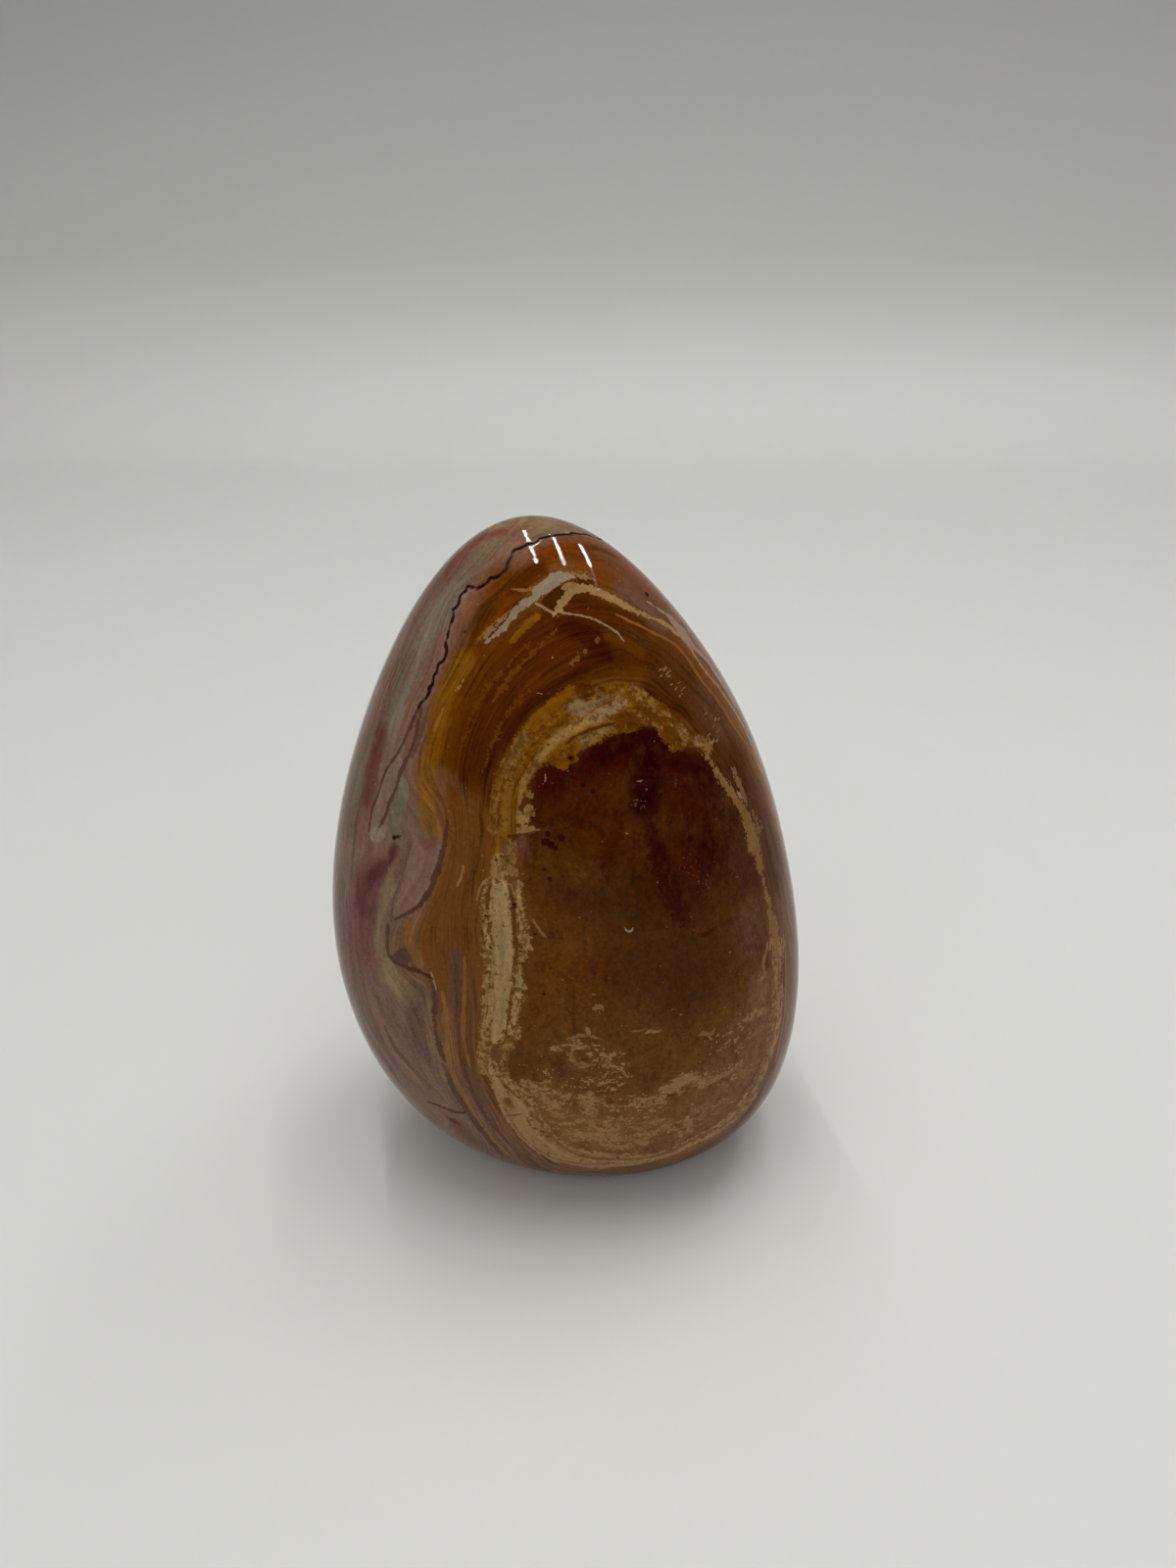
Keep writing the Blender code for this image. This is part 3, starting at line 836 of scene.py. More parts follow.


# The lines. Cracks healed with quartz and clay left fine lines, pale, gold or dark, and the cream has
# ragged rims; a few short pale lines are painted highlights instead, glints off small pits and a chip.
# Each has its colour, its widths in pixels, how far its edges stray in mm, and its line.
NO_LINE = (9.0, -3.0, 0.0)  # the offset, the reach left and the stray far from every line
LINE_MARGIN = 1.5  # mm beside a line in which it is still followed
OUT_OF_REACH = -90.0
LEAST_REACH_LEFT = -6.0
DARK_LINES = (
    # hairlines in the cream
    ((70, 42, 16), (2, 3, 2), 0.3, ((501, 903), (498, 912), (497, 926), (499, 942), (501, 958))),
    ((70, 42, 14), (1, 3, 3, 4, 3), 0.3, ((519, 903), (523, 920), (524, 938), (525, 955), (527, 967),
        (526, 980), (524, 992))),
    ((76, 46, 18), (1, 2, 2, 1), 0.2, ((523, 1004), (521, 1022), (519, 1040), (516, 1056))),
    ((60, 30, 6), (2, 3, 3, 2), 0.15, ((578, 759), (586, 752), (594, 748), (604, 744), (614, 741),
        (627, 738))),
    ((72, 40, 8), (2, 2, 2, 1), 0.1, ((522, 851), (522, 832), (523, 816), (526, 803), (533, 790),
        (540, 778), (548, 768))),
    ((76, 44, 10), (2, 2, 1), 0.1, ((526, 850), (525, 832), (527, 814), (530, 803))),
    ((78, 46, 12), (1, 2, 2, 1), 0.1, ((598, 730), (608, 723), (620, 717), (634, 711), (646, 706))),
    ((78, 46, 12), (1.5, 2.5, 2, 1.5), 0.3, ((508, 846), (509, 826), (512, 807), (518, 791), (526, 776))),
    ((74, 42, 8), (1.5, 3, 2, 1.5), 0.3, ((536, 772), (548, 756), (560, 746), (574, 737))),
    ((62, 34, 10), (3, 2, 1), 0.1, ((518, 853), (530, 852), (545, 849), (562, 846), (580, 842))),
    ((78, 50, 20), (2, 3, 2), 0.12, ((512, 1104), (518, 1110), (524, 1116), (530, 1121))),
    ((90, 62, 34), (2, 2, 1.5), 0.08, ((515, 1139), (524, 1138), (534, 1136))),
    ((82, 54, 34), (4, 7, 5), 0.15, ((505, 1066), (504, 1073), (503, 1080))),
    ((92, 64, 32), (2, 2.5, 2, 2), 0.15, ((545, 1130), (553, 1148), (566, 1163), (584, 1176), (608, 1182),
        (640, 1183), (672, 1179), (700, 1167), (730, 1151))),
    ((94, 66, 36), (1.5, 2, 1.5), 0.15, ((514, 1130), (526, 1150), (542, 1168), (564, 1181), (590, 1187),
        (620, 1188))),
    ((92, 64, 40), (1.5, 2, 2, 1.5), 0.2, ((720, 1158), (742, 1146), (760, 1126), (772, 1102), (782, 1072),
        (789, 1036), (791, 1000))),
    ((90, 64, 42), (1.5, 2, 2, 1.5), 0.2, ((700, 1172), (726, 1162), (750, 1146), (768, 1124),
        (782, 1098))),
    ((84, 56, 30), (1.5, 2, 1.5), 0.3, ((786, 1060), (787, 1030), (786, 996), (788, 966))),
    # dark strands below the open seam, and the borders of the mauve side
    ((60, 36, 30), (4, 3, 2.5, 2, 2), 0.12, ((430, 717), (424, 729), (416, 747), (404, 771), (394, 786),
        (386, 810), (380, 826), (377, 848))),
    ((64, 40, 33), (3.5, 4, 4.5, 3, 2), 0.2, ((431, 722), (427, 738), (422, 760), (415, 774), (409, 788),
        (404, 804), (398, 818), (394, 830), (388, 842), (384, 851))),
    ((64, 38, 26), (3, 5, 7, 6, 4, 3), 0.15, ((456, 836), (455, 852), (453, 865), (449, 880), (444, 894),
        (439, 908), (432, 919), (424, 927), (413, 933), (403, 938))),
    ((82, 58, 47), (2, 2.5, 2), 0.1, ((420, 860), (414, 880), (409, 898), (402, 916), (399, 940))),
    ((54, 36, 28), (2, 4, 3, 2), 0.3, ((406, 984), (418, 988), (430, 992), (442, 999))),
    ((66, 47, 38), (3, 4, 4), 0.15, ((396, 944), (395, 960), (398, 976), (406, 984))),
    ((76, 50, 40), (2, 3, 4, 4, 2), 0.2, ((437, 722), (432, 742), (426, 760), (419, 774))),
    ((80, 55, 46), (3, 5, 4, 2), 0.2, ((371, 1044), (382, 1068), (397, 1088), (413, 1114))),
    ((82, 57, 47), (2, 4, 3, 2), 0.2, ((392, 1046), (404, 1070), (420, 1089), (440, 1110))),
    ((54, 33, 29), (2, 3, 2), 0.15, ((436, 1124), (452, 1130), (466, 1135), (480, 1135))),
    ((56, 34, 30), (2, 4, 2), 0.15, ((458, 1141), (463, 1144), (468, 1147))),
    ((68, 46, 36), (4, 6, 7, 6), 0.2, ((452, 1086), (461, 1107), (476, 1132), (494, 1157), (512, 1178))),
    ((72, 46, 30), (3, 4, 4, 3), 0.2, ((468, 1044), (470, 1078), (480, 1108), (498, 1142), (520, 1168))),
    ((60, 32, 6), (1.5, 2, 1.5), 0.1, ((713, 668), (727, 686), (741, 704), (752, 722), (762, 742))),
    # the red streak in the core
    ((42, 11, 3), (8, 10, 9, 7, 6, 3), 1.0, ((666, 872), (672, 888), (679, 904), (685, 918), (691, 932),
        (697, 944))),
    ((46, 20, 8), (1.5, 2, 2, 1), 0.3, ((700, 947), (709, 953), (722, 952), (735, 943))),
    # dark stains in the core
    ((60, 36, 12), (3, 6, 6, 3), 0.4, ((585, 1004), (586, 1020), (585, 1038), (587, 1056))),
    ((62, 38, 22), (8, 9, 5), 0.6, ((572, 1080), (570, 1090), (574, 1098))),
    ((70, 42, 8), (4, 3), 0.2, ((682, 1118), (690, 1117))),
)
PALE_LINES = (
    # quartz lines at the top, the gold ones to the right flank
    ((126, 98, 62), (4, 8, 8, 7, 7, 5, 5, 4, 3.5, 3, 2.5, 2.5, 2.5, 2, 1.5), 0.35, ((565, 628), (571, 620),
        (578, 610), (586, 603), (600, 601), (612, 605), (625, 611), (637, 618), (650, 624), (663, 629),
        (676, 635), (690, 645), (702, 658), (716, 679), (729, 696), (740, 711), (753, 731), (764, 752),
        (770, 768), (778, 790))),
    ((110, 68, 32), (2, 2.5, 3, 3, 3, 2.5, 2.5, 2.5, 2, 2, 2), 0.12, ((628, 626), (639, 632), (652, 638),
        (665, 645), (678, 651), (688, 657), (697, 666), (708, 682), (719, 698), (732, 714), (745, 735),
        (760, 757), (775, 784), (784, 808), (793, 836))),
    ((122, 100, 76), (2, 2, 2, 1.6, 1.2), 0.1, ((573, 625), (585, 627), (597, 629), (609, 633), (620, 639),
        (630, 646), (637, 655))),
    ((104, 72, 32), (3, 3, 2), 0.2, ((486, 656), (491, 649), (499, 641), (508, 633), (517, 626),
        (524, 620))),
    ((108, 78, 40), (2, 3, 3), 0.15, ((520, 601), (530, 602), (538, 602), (546, 600))),
    ((112, 86, 56), (2.5, 2, 3, 2, 2), 0.8, ((583, 587), (589, 586), (594, 588), (600, 587), (605, 590))),
    ((98, 64, 26), (1.5, 3, 1.5), 0.5, ((583, 677), (590, 670), (598, 663))),
    # streaks in the ochre
    ((88, 51, 4), (3, 5, 5, 4, 3), 0.4, ((503, 716), (518, 694), (536, 674), (552, 658), (568, 642))),
    ((84, 46, 4), (2, 4, 4, 2), 0.5, ((470, 764), (480, 734), (497, 704), (520, 676), (540, 656))),
    ((84, 46, 4), (2, 4, 3), 0.5, ((493, 786), (505, 752), (520, 726), (540, 704))),
    ((120, 90, 54), (2, 4, 3), 0.3, ((464, 706), (468, 701), (472, 695))),
    ((112, 80, 36), (1.5, 3, 2.5, 1.5), 0.2, ((443, 752), (445, 741), (449, 731), (453, 722))),
    ((116, 84, 48), (1.5, 3, 3, 1.5), 0.1, ((473, 882), (472, 890), (469, 899), (466, 905))),
    ((104, 70, 34), (2, 3, 2), 0.1, ((430, 800), (431, 775), (434, 758))),
    ((110, 77, 42), (3, 5, 5, 4, 4, 3), 0.12, ((451, 1012), (456, 1040), (456, 1070), (463, 1098),
        (475, 1121), (490, 1147), (505, 1165), (524, 1183))),
    ((107, 73, 35), (2, 5, 4, 3), 0.12, ((474, 976), (474, 1010), (473, 1036), (474, 1064), (480, 1090))),
    ((98, 66, 36), (2, 3, 3, 2), 0.12, ((484, 1030), (484, 1070), (492, 1104), (508, 1138), (528, 1164),
        (552, 1186))),
    ((112, 88, 76), (2, 3, 2), 0.1, ((405, 1077), (419, 1093), (434, 1112))),
    ((132, 112, 94), (1, 2, 1.6, 1), 0.05, ((440, 992), (442, 999), (444, 1005), (445, 1012))),
    # the ragged rim to the right of the core
    ((110, 80, 46), (8, 6, 5, 5, 6, 7, 9, 12, 14, 14, 10, 6, 3, 4, 7, 11, 8, 5), 0.6, ((723, 762),
        (723, 772), (729, 783), (737, 796), (745, 808), (752, 818), (758, 828), (763, 840), (767, 852),
        (771, 864), (774, 877), (777, 890), (780, 904), (783, 918), (787, 932), (790, 946), (792, 958),
        (793, 972))),
    ((102, 76, 48), (1.5, 3, 5, 4), 0.6, ((747, 783), (752, 794), (757, 807), (761, 820))),
    ((124, 106, 86), (1.5, 4, 2), 0.3, ((751, 807), (756, 812), (761, 817))),
    ((96, 70, 48), (3, 5, 4), 1.2, ((768, 828), (773, 840), (776, 854))),
    ((112, 84, 54), (1.5, 3, 3, 3), 0.15, ((783, 962), (781, 974), (779, 986), (781, 994), (776, 1000))),
    ((110, 84, 56), (2, 2, 2), 0.1, ((801, 960), (802, 1000), (799, 1046), (791, 1084))),
    # scratches and small marks in the core, and one painted highlight
    ((104, 76, 46), (1, 2.5, 2.5, 1.5), 0.1, ((543, 936), (547, 944), (552, 951), (558, 957))),
    ((112, 86, 58), (1, 2.5, 1), 0.1, ((528, 898), (531, 900), (535, 902))),
    # painted highlight: a pale c-shaped glint off the rim of a small chip
    ((132, 112, 90), (1, 2, 2, 1), 0.05, ((637, 946), (640, 950), (644, 950), (646, 946))),
    ((112, 88, 62), (1, 3, 3, 1), 0.15, ((658, 1055), (664, 1052), (669, 1053), (676, 1050))),
    ((100, 74, 46), (1, 2, 1), 0.1, ((644, 1052), (652, 1052), (660, 1049))),
    ((102, 74, 44), (1, 3, 3, 1), 0.2, ((713, 1057), (719, 1054), (724, 1056), (729, 1050))),
    ((106, 78, 46), (1, 3, 1), 0.1, ((760, 1061), (770, 1055), (779, 1050))),
    ((104, 78, 46), (2, 4, 3, 2), 0.2, ((577, 1061), (586, 1058), (596, 1056), (606, 1058), (613, 1060))),
    ((104, 78, 46), (2, 4, 4, 2), 0.2, ((592, 1066), (585, 1070), (583, 1078), (588, 1085), (597, 1087),
        (607, 1086))),
    ((112, 86, 54), (3, 6, 4), 0.2, ((599, 1048), (600, 1053), (602, 1057))),
    ((106, 80, 50), (3, 5, 3), 0.2, ((606, 1030), (611, 1027), (616, 1031))),
    ((84, 50, 24), (1.5, 2.5, 2, 1.5, 1.5), 0.4, ((650, 813), (648, 819), (652, 824), (657, 820),
        (656, 813))),
    ((116, 92, 66), (1.2, 1.6, 1.2), 0.1, ((651, 797), (654, 797), (656, 796))),
    ((110, 84, 52), (1, 2, 1.5), 0.1, ((556, 789), (557, 793), (556, 798))),
    ((116, 90, 54), (1.5, 2.5, 2, 1.5), 0.15, ((487, 922), (489, 908), (495, 899), (503, 893))),
    ((64, 42, 28), (2, 4, 3), 0.6, ((690, 792), (690, 797), (691, 803))),
)
# short pale strokes in rows on the right flank, painted highlights: glints of light off small pits
PAINTED_GLINT_STROKES = (
    ((673, 684), (676, 682)), ((677, 684), (680, 681)), ((680, 688), (684, 684)), ((681, 691), (684, 689)),
    ((684, 699), (689, 696)), ((691, 698), (694, 696)), ((695, 705), (699, 701)), ((689, 704), (691, 701)),
    ((693, 711), (696, 708)), ((673, 691), (675, 689)), ((729, 736), (731, 732)), ((732, 735), (736, 731)),
    ((725, 732), (727, 729)), ((731, 748), (735, 743)), ((727, 743), (729, 739)), ((726, 760), (729, 754)),
    ((722, 751), (725, 748)), ((731, 757), (733, 752)), ((719, 729), (722, 727)), ((725, 768), (727, 764)),
)
# flakes of cream below the core, with their widths
FLAKES = (
    (2, ((606, 1032), (612, 1029), (618, 1032))), (2, ((611, 1025), (612, 1030), (611, 1036))),
    (7, ((597, 1052), (602, 1056))), (3, ((606, 1056), (610, 1058))), (3, ((582, 1060), (592, 1059))),
    (2, ((592, 1068), (600, 1069))), (3, ((591, 1078), (594, 1085), (603, 1087))),
    (4, ((614, 1075), (618, 1075))), (4, ((623, 1074), (627, 1076))), (4, ((632, 1075), (635, 1075))),
    (6, ((611, 1083), (620, 1088), (630, 1090))), (6, ((625, 1088), (634, 1092), (641, 1098))),
    (2.5, ((609, 1108), (621, 1104))), (2.5, ((612, 1113), (621, 1110))), (2.5, ((606, 1101), (619, 1097))),
    (2.5, ((628, 1100), (641, 1097))), (1.5, ((684, 1030), (687, 1030))),
    (10, ((594, 1123), (601, 1129), (606, 1138))), (4, ((602, 1114), (602, 1123))),
    (4, ((585, 1144), (600, 1143))), (8, ((602, 1146), (610, 1146))), (6, ((580, 1155), (590, 1153))),
    (9, ((595, 1160), (605, 1159))), (4, ((600, 1158), (610, 1162), (620, 1158), (630, 1162), (641, 1160))),
    (3, ((643, 1162), (652, 1164), (661, 1162))), (4, ((632, 1142), (635, 1141))),
    (4, ((640, 1140), (643, 1140))), (6, ((664, 1146), (673, 1143))),
    (3, ((659, 1160), (670, 1154), (681, 1150))), (2.5, ((648, 1121), (664, 1121), (680, 1120))),
    (2.5, ((652, 1125), (668, 1126), (678, 1125))), (2.5, ((646, 1130), (660, 1129), (674, 1130))),
    (8, ((556, 1124), (568, 1127))), (3, ((554, 1103), (560, 1105))),
    (9, ((682, 1112), (692, 1107), (700, 1100), (708, 1102), (717, 1106))), (5, ((698, 1113), (691, 1117))),
    (4, ((718, 1106), (735, 1100), (748, 1092))), (3, ((757, 1043), (765, 1036), (773, 1032), (780, 1031))),
    (4, ((753, 1050), (755, 1051))), (4, ((752, 1068), (757, 1070))), (4, ((753, 1034), (755, 1035))),
    (4, ((700, 1140), (703, 1148), (701, 1156))), (4, ((695, 1155), (700, 1156))),
    (2, ((705, 1126), (715, 1138))), (5, ((566, 1136), (574, 1140), (580, 1147))),
    (5, ((572, 1116), (580, 1122))), (4, ((616, 1126), (626, 1130))), (5, ((618, 1148), (630, 1152))),
    (4, ((612, 1168), (630, 1170), (646, 1169))), (4, ((646, 1150), (656, 1154))),
    (4, ((566, 1150), (574, 1158))), (2, ((724, 1076), (736, 1070), (744, 1062))),
    (2, ((736, 1058), (748, 1052))),
)
VEIN_LINES = (
    ((114, 104, 86), (2, 3, 5, 6, 5, 7, 8, 8, 6, 8, 11, 13, 14, 10, 4), 0.26, ((494, 657), (501, 651),
        (508, 646), (513, 641), (517, 636), (523, 628), (528, 621), (534, 617), (541, 614), (546, 608),
        (552, 602), (560, 596), (568, 590), (576, 588), (583, 588))),
    ((110, 88, 60), (2, 3, 4, 4, 3), 0.5, ((489, 655), (497, 648), (505, 640), (512, 633), (518, 628))),
    ((122, 100, 78), (2.5, 3, 2.5), 0.05, ((545, 615), (553, 619), (560, 623), (567, 627))),
    ((118, 88, 54), (6, 8, 6), 0.1, ((575, 600), (583, 598), (592, 600))),
    ((118, 102, 86), (1.5, 2.5, 4, 7, 8, 8, 6, 5, 5, 5, 4, 2), 0.25, ((661, 614), (671, 621), (680, 627),
        (687, 634), (694, 642), (701, 651), (708, 660), (716, 668), (723, 676), (731, 688), (740, 702),
        (750, 720))),
)
# the painted glints are drawn among the pale lines, in one pale colour
PALE_LINES += tuple(((112, 90, 60), (1.3, 1.3), 0.15, stroke) for stroke in PAINTED_GLINT_STROKES)
for width, run in FLAKES:
    PALE_LINES += (((116, 88, 55), (width * 0.5, width, width * 0.6), 0.25 + width * 0.08, run),)

corner_point = listed(stone_mesh.loops, "vertex_index", int)
face_start = listed(stone_mesh.polygons, "loop_start", int)
face_size = listed(stone_mesh.polygons, "loop_total", int)


def draw_lines(name, lines):
    """Keeps the offset from the nearest line, the reach left there, how far the edge strays, and the colour.
    They are kept for the corners of each face, so that a face never mixes the offsets from two lines."""
    reach = np.full((len(corner_point), 3), NO_LINE)
    colours = np.hstack([ground[corner_point], np.ones((len(corner_point), 1))])
    best = np.full(len(face_start), LEAST_REACH_LEFT)
    for seen, widths, stray, points in lines:
        share = np.linspace(0, 1, len(points))
        wide = np.interp(share, np.linspace(0, 1, len(widths)), widths)
        line = trace([(x, y, width) for (x, y), width in zip(points, wide)])
        half = line[4]
        near, aside, sample, past = offsets(line, half.max() + LINE_MARGIN)
        offset = np.full(len(places), NO_LINE[0])
        left = np.full(len(places), OUT_OF_REACH)
        offset[near] = aside
        left[near] = half[sample] - past
        score = np.add.reduceat((left - np.abs(offset))[corner_point], face_start) / face_size
        won = np.repeat(score > best, face_size)
        best = np.maximum(best, score)
        reach[won, 0] = offset[corner_point[won]]
        reach[won, 1] = left[corner_point[won]]
        reach[won, 2] = stray
        colours[won, :3] = pigment(*seen)
    keep(name, "FLOAT_VECTOR", reach, "CORNER")
    keep(name + "_colour", "FLOAT_COLOR", colours, "CORNER")


draw_lines("dark", DARK_LINES)
draw_lines("pale", PALE_LINES)
draw_lines("veins", VEIN_LINES)


# The scattered marks. Below the core the cream is broken into blotches, on the arch and the bar it is
# porous, and the core is specked, spotted and reddened in places. Each mark has the share of the stone that
# it takes there, between 0 and 1, its width in pixels and its line.
MARK_FULL = 1.3  # the higher, the more of its width a mark covers in full
BLOTCHES = (
    # under the bar's foot and along the band below
    (0.60, 13, ((552, 1112), (560, 1124), (570, 1134), (584, 1142))),
    (0.70, 10, ((596, 1118), (602, 1130), (604, 1142))),
    (0.60, 12, ((604, 1144), (622, 1150), (644, 1150), (660, 1144))),
    (0.70, 11, ((584, 1156), (604, 1160), (630, 1161), (656, 1162))),
    (0.45, 10, ((590, 1168), (620, 1170), (650, 1170))),
    (0.55, 9, ((660, 1162), (674, 1154), (690, 1148))),
    (0.45, 16, ((576, 1150), (566, 1142))),
    (0.40, 30, ((560, 1110), (590, 1124), (620, 1134), (650, 1132))),
    # round the swirl
    (0.65, 8, ((566, 1070), (578, 1068), (590, 1066))),
    (0.60, 9, ((584, 1072), (584, 1082), (592, 1090))),
    (0.55, 14, ((606, 1074), (622, 1080), (634, 1090), (630, 1100))),
    (0.45, 14, ((606, 1100), (622, 1106), (634, 1100))),
    # to the right
    (0.60, 8, ((646, 1124), (662, 1124), (678, 1122))),
    (0.85, 8, ((678, 1114), (692, 1106), (704, 1100), (716, 1106))),
    (0.60, 10, ((700, 1098), (718, 1100), (736, 1096), (752, 1090))),
    (0.55, 12, ((668, 1146), (690, 1150))),
    (0.60, 8, ((700, 1142), (703, 1154), (698, 1160))),
    (0.70, 6, ((756, 1042), (767, 1037), (780, 1032))),
    (0.60, 6, ((755, 1050), (753, 1064), (755, 1074))),
    (0.30, 14, ((722, 1064), (742, 1056), (760, 1056))),
    (0.45, 10, ((764, 1090), (752, 1100), (738, 1108))),
    (0.35, 14, ((740, 1126), (720, 1134))),
)
SPECKS = (
    (0.45, 8, ((674, 686), (686, 690))),
    (0.45, 8, ((686, 702), (700, 702))),
    (0.45, 9, ((722, 742), (736, 732))),
    (0.45, 9, ((720, 758), (732, 750))),
    (0.62, 20, ((702, 880), (716, 898), (722, 914))),
    (0.45, 12, ((654, 788), (664, 778), (676, 773))),
    (0.42, 40, ((692, 812), (712, 850))),
    (0.45, 10, ((742, 796), (738, 812))),
    (0.45, 8, ((474, 646), (488, 640))),
    (0.35, 12, ((572, 800), (594, 806))),
    (0.40, 6, ((690, 794), (692, 802))),
    (0.30, 30, ((748, 830), (762, 870), (770, 910))),
)
REDDENED = (
    (0.8, 22, ((606, 772), (640, 758), (668, 762), (690, 772))),
    (1.0, 10, ((656, 780), (662, 810), (666, 840), (671, 868), (684, 900), (696, 936))),
    (0.7, 16, ((560, 800), (584, 784))),
    (0.5, 22, ((700, 790), (722, 800), (736, 840), (732, 880))),
    (0.5, 16, ((556, 852), (600, 850))),
)
POROUS = (
    (0.80, 12, ((506, 848), (506, 826), (509, 806), (516, 794))),
    (0.95, 14, ((516, 792), (519, 776), (526, 762), (536, 748))),
    (0.66, 26, ((532, 790), (544, 768), (566, 744), (592, 728), (620, 716), (640, 714))),
    (0.60, 14, ((580, 722), (600, 712), (628, 709))),
    (0.95, 26, ((646, 708), (664, 722), (684, 740), (704, 758), (722, 766))),
    (0.80, 14, ((628, 736), (644, 732), (656, 740))),
    (0.80, 10, ((556, 780), (574, 768), (590, 756), (620, 746))),
    (0.75, 10, ((532, 842), (540, 828))),
    (0.75, 12, ((520, 864), (514, 878), (512, 892), (508, 902))),
    (0.90, 10, ((496, 896), (494, 930), (496, 970), (497, 1010), (494, 1050), (492, 1090))),
    (0.90, 10, ((526, 900), (530, 930), (534, 960), (532, 980), (530, 1010), (526, 1050), (518, 1066),
        (514, 1098))),
    (0.75, 10, ((498, 1064), (502, 1082), (510, 1098))),
    (0.85, 14, ((524, 1108), (540, 1118), (552, 1126), (548, 1142), (560, 1156))),
    (0.70, 12, ((566, 1160), (590, 1171), (622, 1177), (660, 1176), (700, 1164), (740, 1142))),
    (0.40, 16, ((560, 1182), (610, 1190), (660, 1184), (720, 1162))),
    (0.80, 14, ((740, 1146), (768, 1112), (786, 1060), (793, 1010), (793, 960))),
    (0.32, 22, ((512, 910), (512, 980), (508, 1050))),
)
# Each spot's place and its size in pixels
DARK_SPOTS = (
    (559, 851, 5), (556, 859, 6), (562, 862, 6), (567, 866, 4), (573, 855, 6), (595, 801, 4), (605, 807, 4),
    (704, 856, 6), (636, 855, 3), (719, 863, 7), (724, 869, 6), (661, 886, 3), (555, 1014, 3),
    (660, 606, 5), (582, 774, 4), (697, 944, 4), (402, 855, 4), (406, 854, 4), (410, 852, 3), (648, 826, 4),
    (474, 644, 3), (546, 953, 4), (556, 887, 4), (561, 897, 5), (506, 878, 3), (511, 874, 2.5),
    (518, 879, 3), (496, 935, 3), (499, 962, 3), (501, 967, 3), (525, 923, 3), (525, 927, 3), (532, 934, 3),
    (524, 1051, 3), (525, 1055, 3), (507, 1068, 3), (578, 1030, 3), (583, 1035, 4),
)

for name, marks in (("porous", POROUS), ("blotched", BLOTCHES), ("specked", SPECKS), ("reddened", REDDENED)):
    cover = np.zeros(len(places))
    for share, width, line in marks:
        near, covered = brushed(width, line, np.zeros(len(places)), MARK_FULL)
        cover[near] = np.maximum(cover[near], share * covered)
    keep(name, "FLOAT", cover)
spot_depth = np.full(len(places), FAR_OUTSIDE)
for px, py, size in DARK_SPOTS:
    away = np.linalg.norm(places - on_stone(px, py)[0], axis=1)
    spot_depth = np.maximum(spot_depth, size * PIXEL_MM - away)
keep("spotted", "FLOAT", spot_depth)


# The polish and the fine grain. Under the polish every band is packed with finer streaks that run along it,
# the core is clouded and specked, healed cracks have crisp edges, and the open seam and the pits are dull.
POLISH_ROUGHNESS = 0.03
CHALKY_ROUGHNESS = 0.06
HOLLOW_ROUGHNESS = 0.6
REFRACTION = 1.22
SHEEN_LEVEL = 0.15  # of the gloss that the refraction gives
POLISH_WAVE = 0.0016  # height in mm of the fine unevenness that the polish leaves


def paint(*seen):
    """A pigment as an opaque colour for a node."""
    return (*pigment(*seen), 1)


HOLLOW_COLOUR = paint(34, 12, 12)
PORE_COLOUR = paint(74, 42, 10)
CRUST_COLOUR = paint(117, 88, 48)
CORE_OLIVE = paint(76, 50, 12)
CORE_RED = paint(42, 9, 2)
SPOT_COLOUR = paint(36, 12, 4)
FLAME_DARK = paint(58, 26, 0)
FLAME_GOLD = paint(106, 66, 10)
BLOTCH_COLOUR = paint(124, 96, 62)
SPECK_COLOUR = paint(112, 88, 66)
ROSE = paint(96, 56, 48)
ASH = paint(96, 86, 70)
MAUVE = paint(80, 54, 42)

here = Signal(jasper.node_tree)
place_in_mm = here.add("ShaderNodeTexCoord", {}, {}, "Object").scaled(1 / MM)


def read(name, output="Fac"):
    """One of the values kept for the stone's points."""
    return here.add("ShaderNodeAttribute", {"attribute_name": name}, {}, output)


def varied(at, turn, size, detail, rough):
    """Smooth variation, mostly between -1 and 1, with features of the given size in mm."""
    inputs = {"Vector": at, "W": turn, "Scale": 1 / size, "Detail": detail, "Roughness": rough}
    return (here.add("ShaderNodeTexNoise", {"noise_dimensions": "4D"}, inputs) - 0.5) * 4


def cloud(size, seed, detail=2.0, stretch=(1, 1, 1), rough=0.5):
    """Cloudy variation with features of the given size in mm, or longer where stretched."""
    at = here.add("ShaderNodeVectorMath", {"operation": "DIVIDE"}, {0: place_in_mm, 1: stretch})
    return varied(at, seed, size, detail, rough)


def streaks(fine, long, seed, detail=3.0, rough=0.5):
    """Variation in streaks that follow the bands, with their spacing across and their length in mm."""
    return varied(place_in_mm, band * (long / fine) + seed, long, detail, rough)


def line_cover(name, soft):
    """Where a group of lines covers the stone, with edges that stray along each line."""
    kept = read(name, "Vector")
    offset, left, stray = (here.add("ShaderNodeSeparateXYZ", {}, {0: kept}, axis) for axis in range(3))
    return (left + (ragged * 1.1 + chips * 0.7) * stray - abs(offset)).above(0.0, soft)


band = read("level")
streaked = read("streaked")
cored = read("cored")
flamed = read("flamed")
ragged = cloud(0.95, 21.0, 1.0) * 0.6 + cloud(0.36, 23.0, 1.0) * 0.7
chips = cloud(2.4, 25.0, 3.0, rough=0.6)
frayed = streaks(0.40, 2.5, 33.0)
grit = cloud(0.60, 9.0, 2.0, rough=0.8)

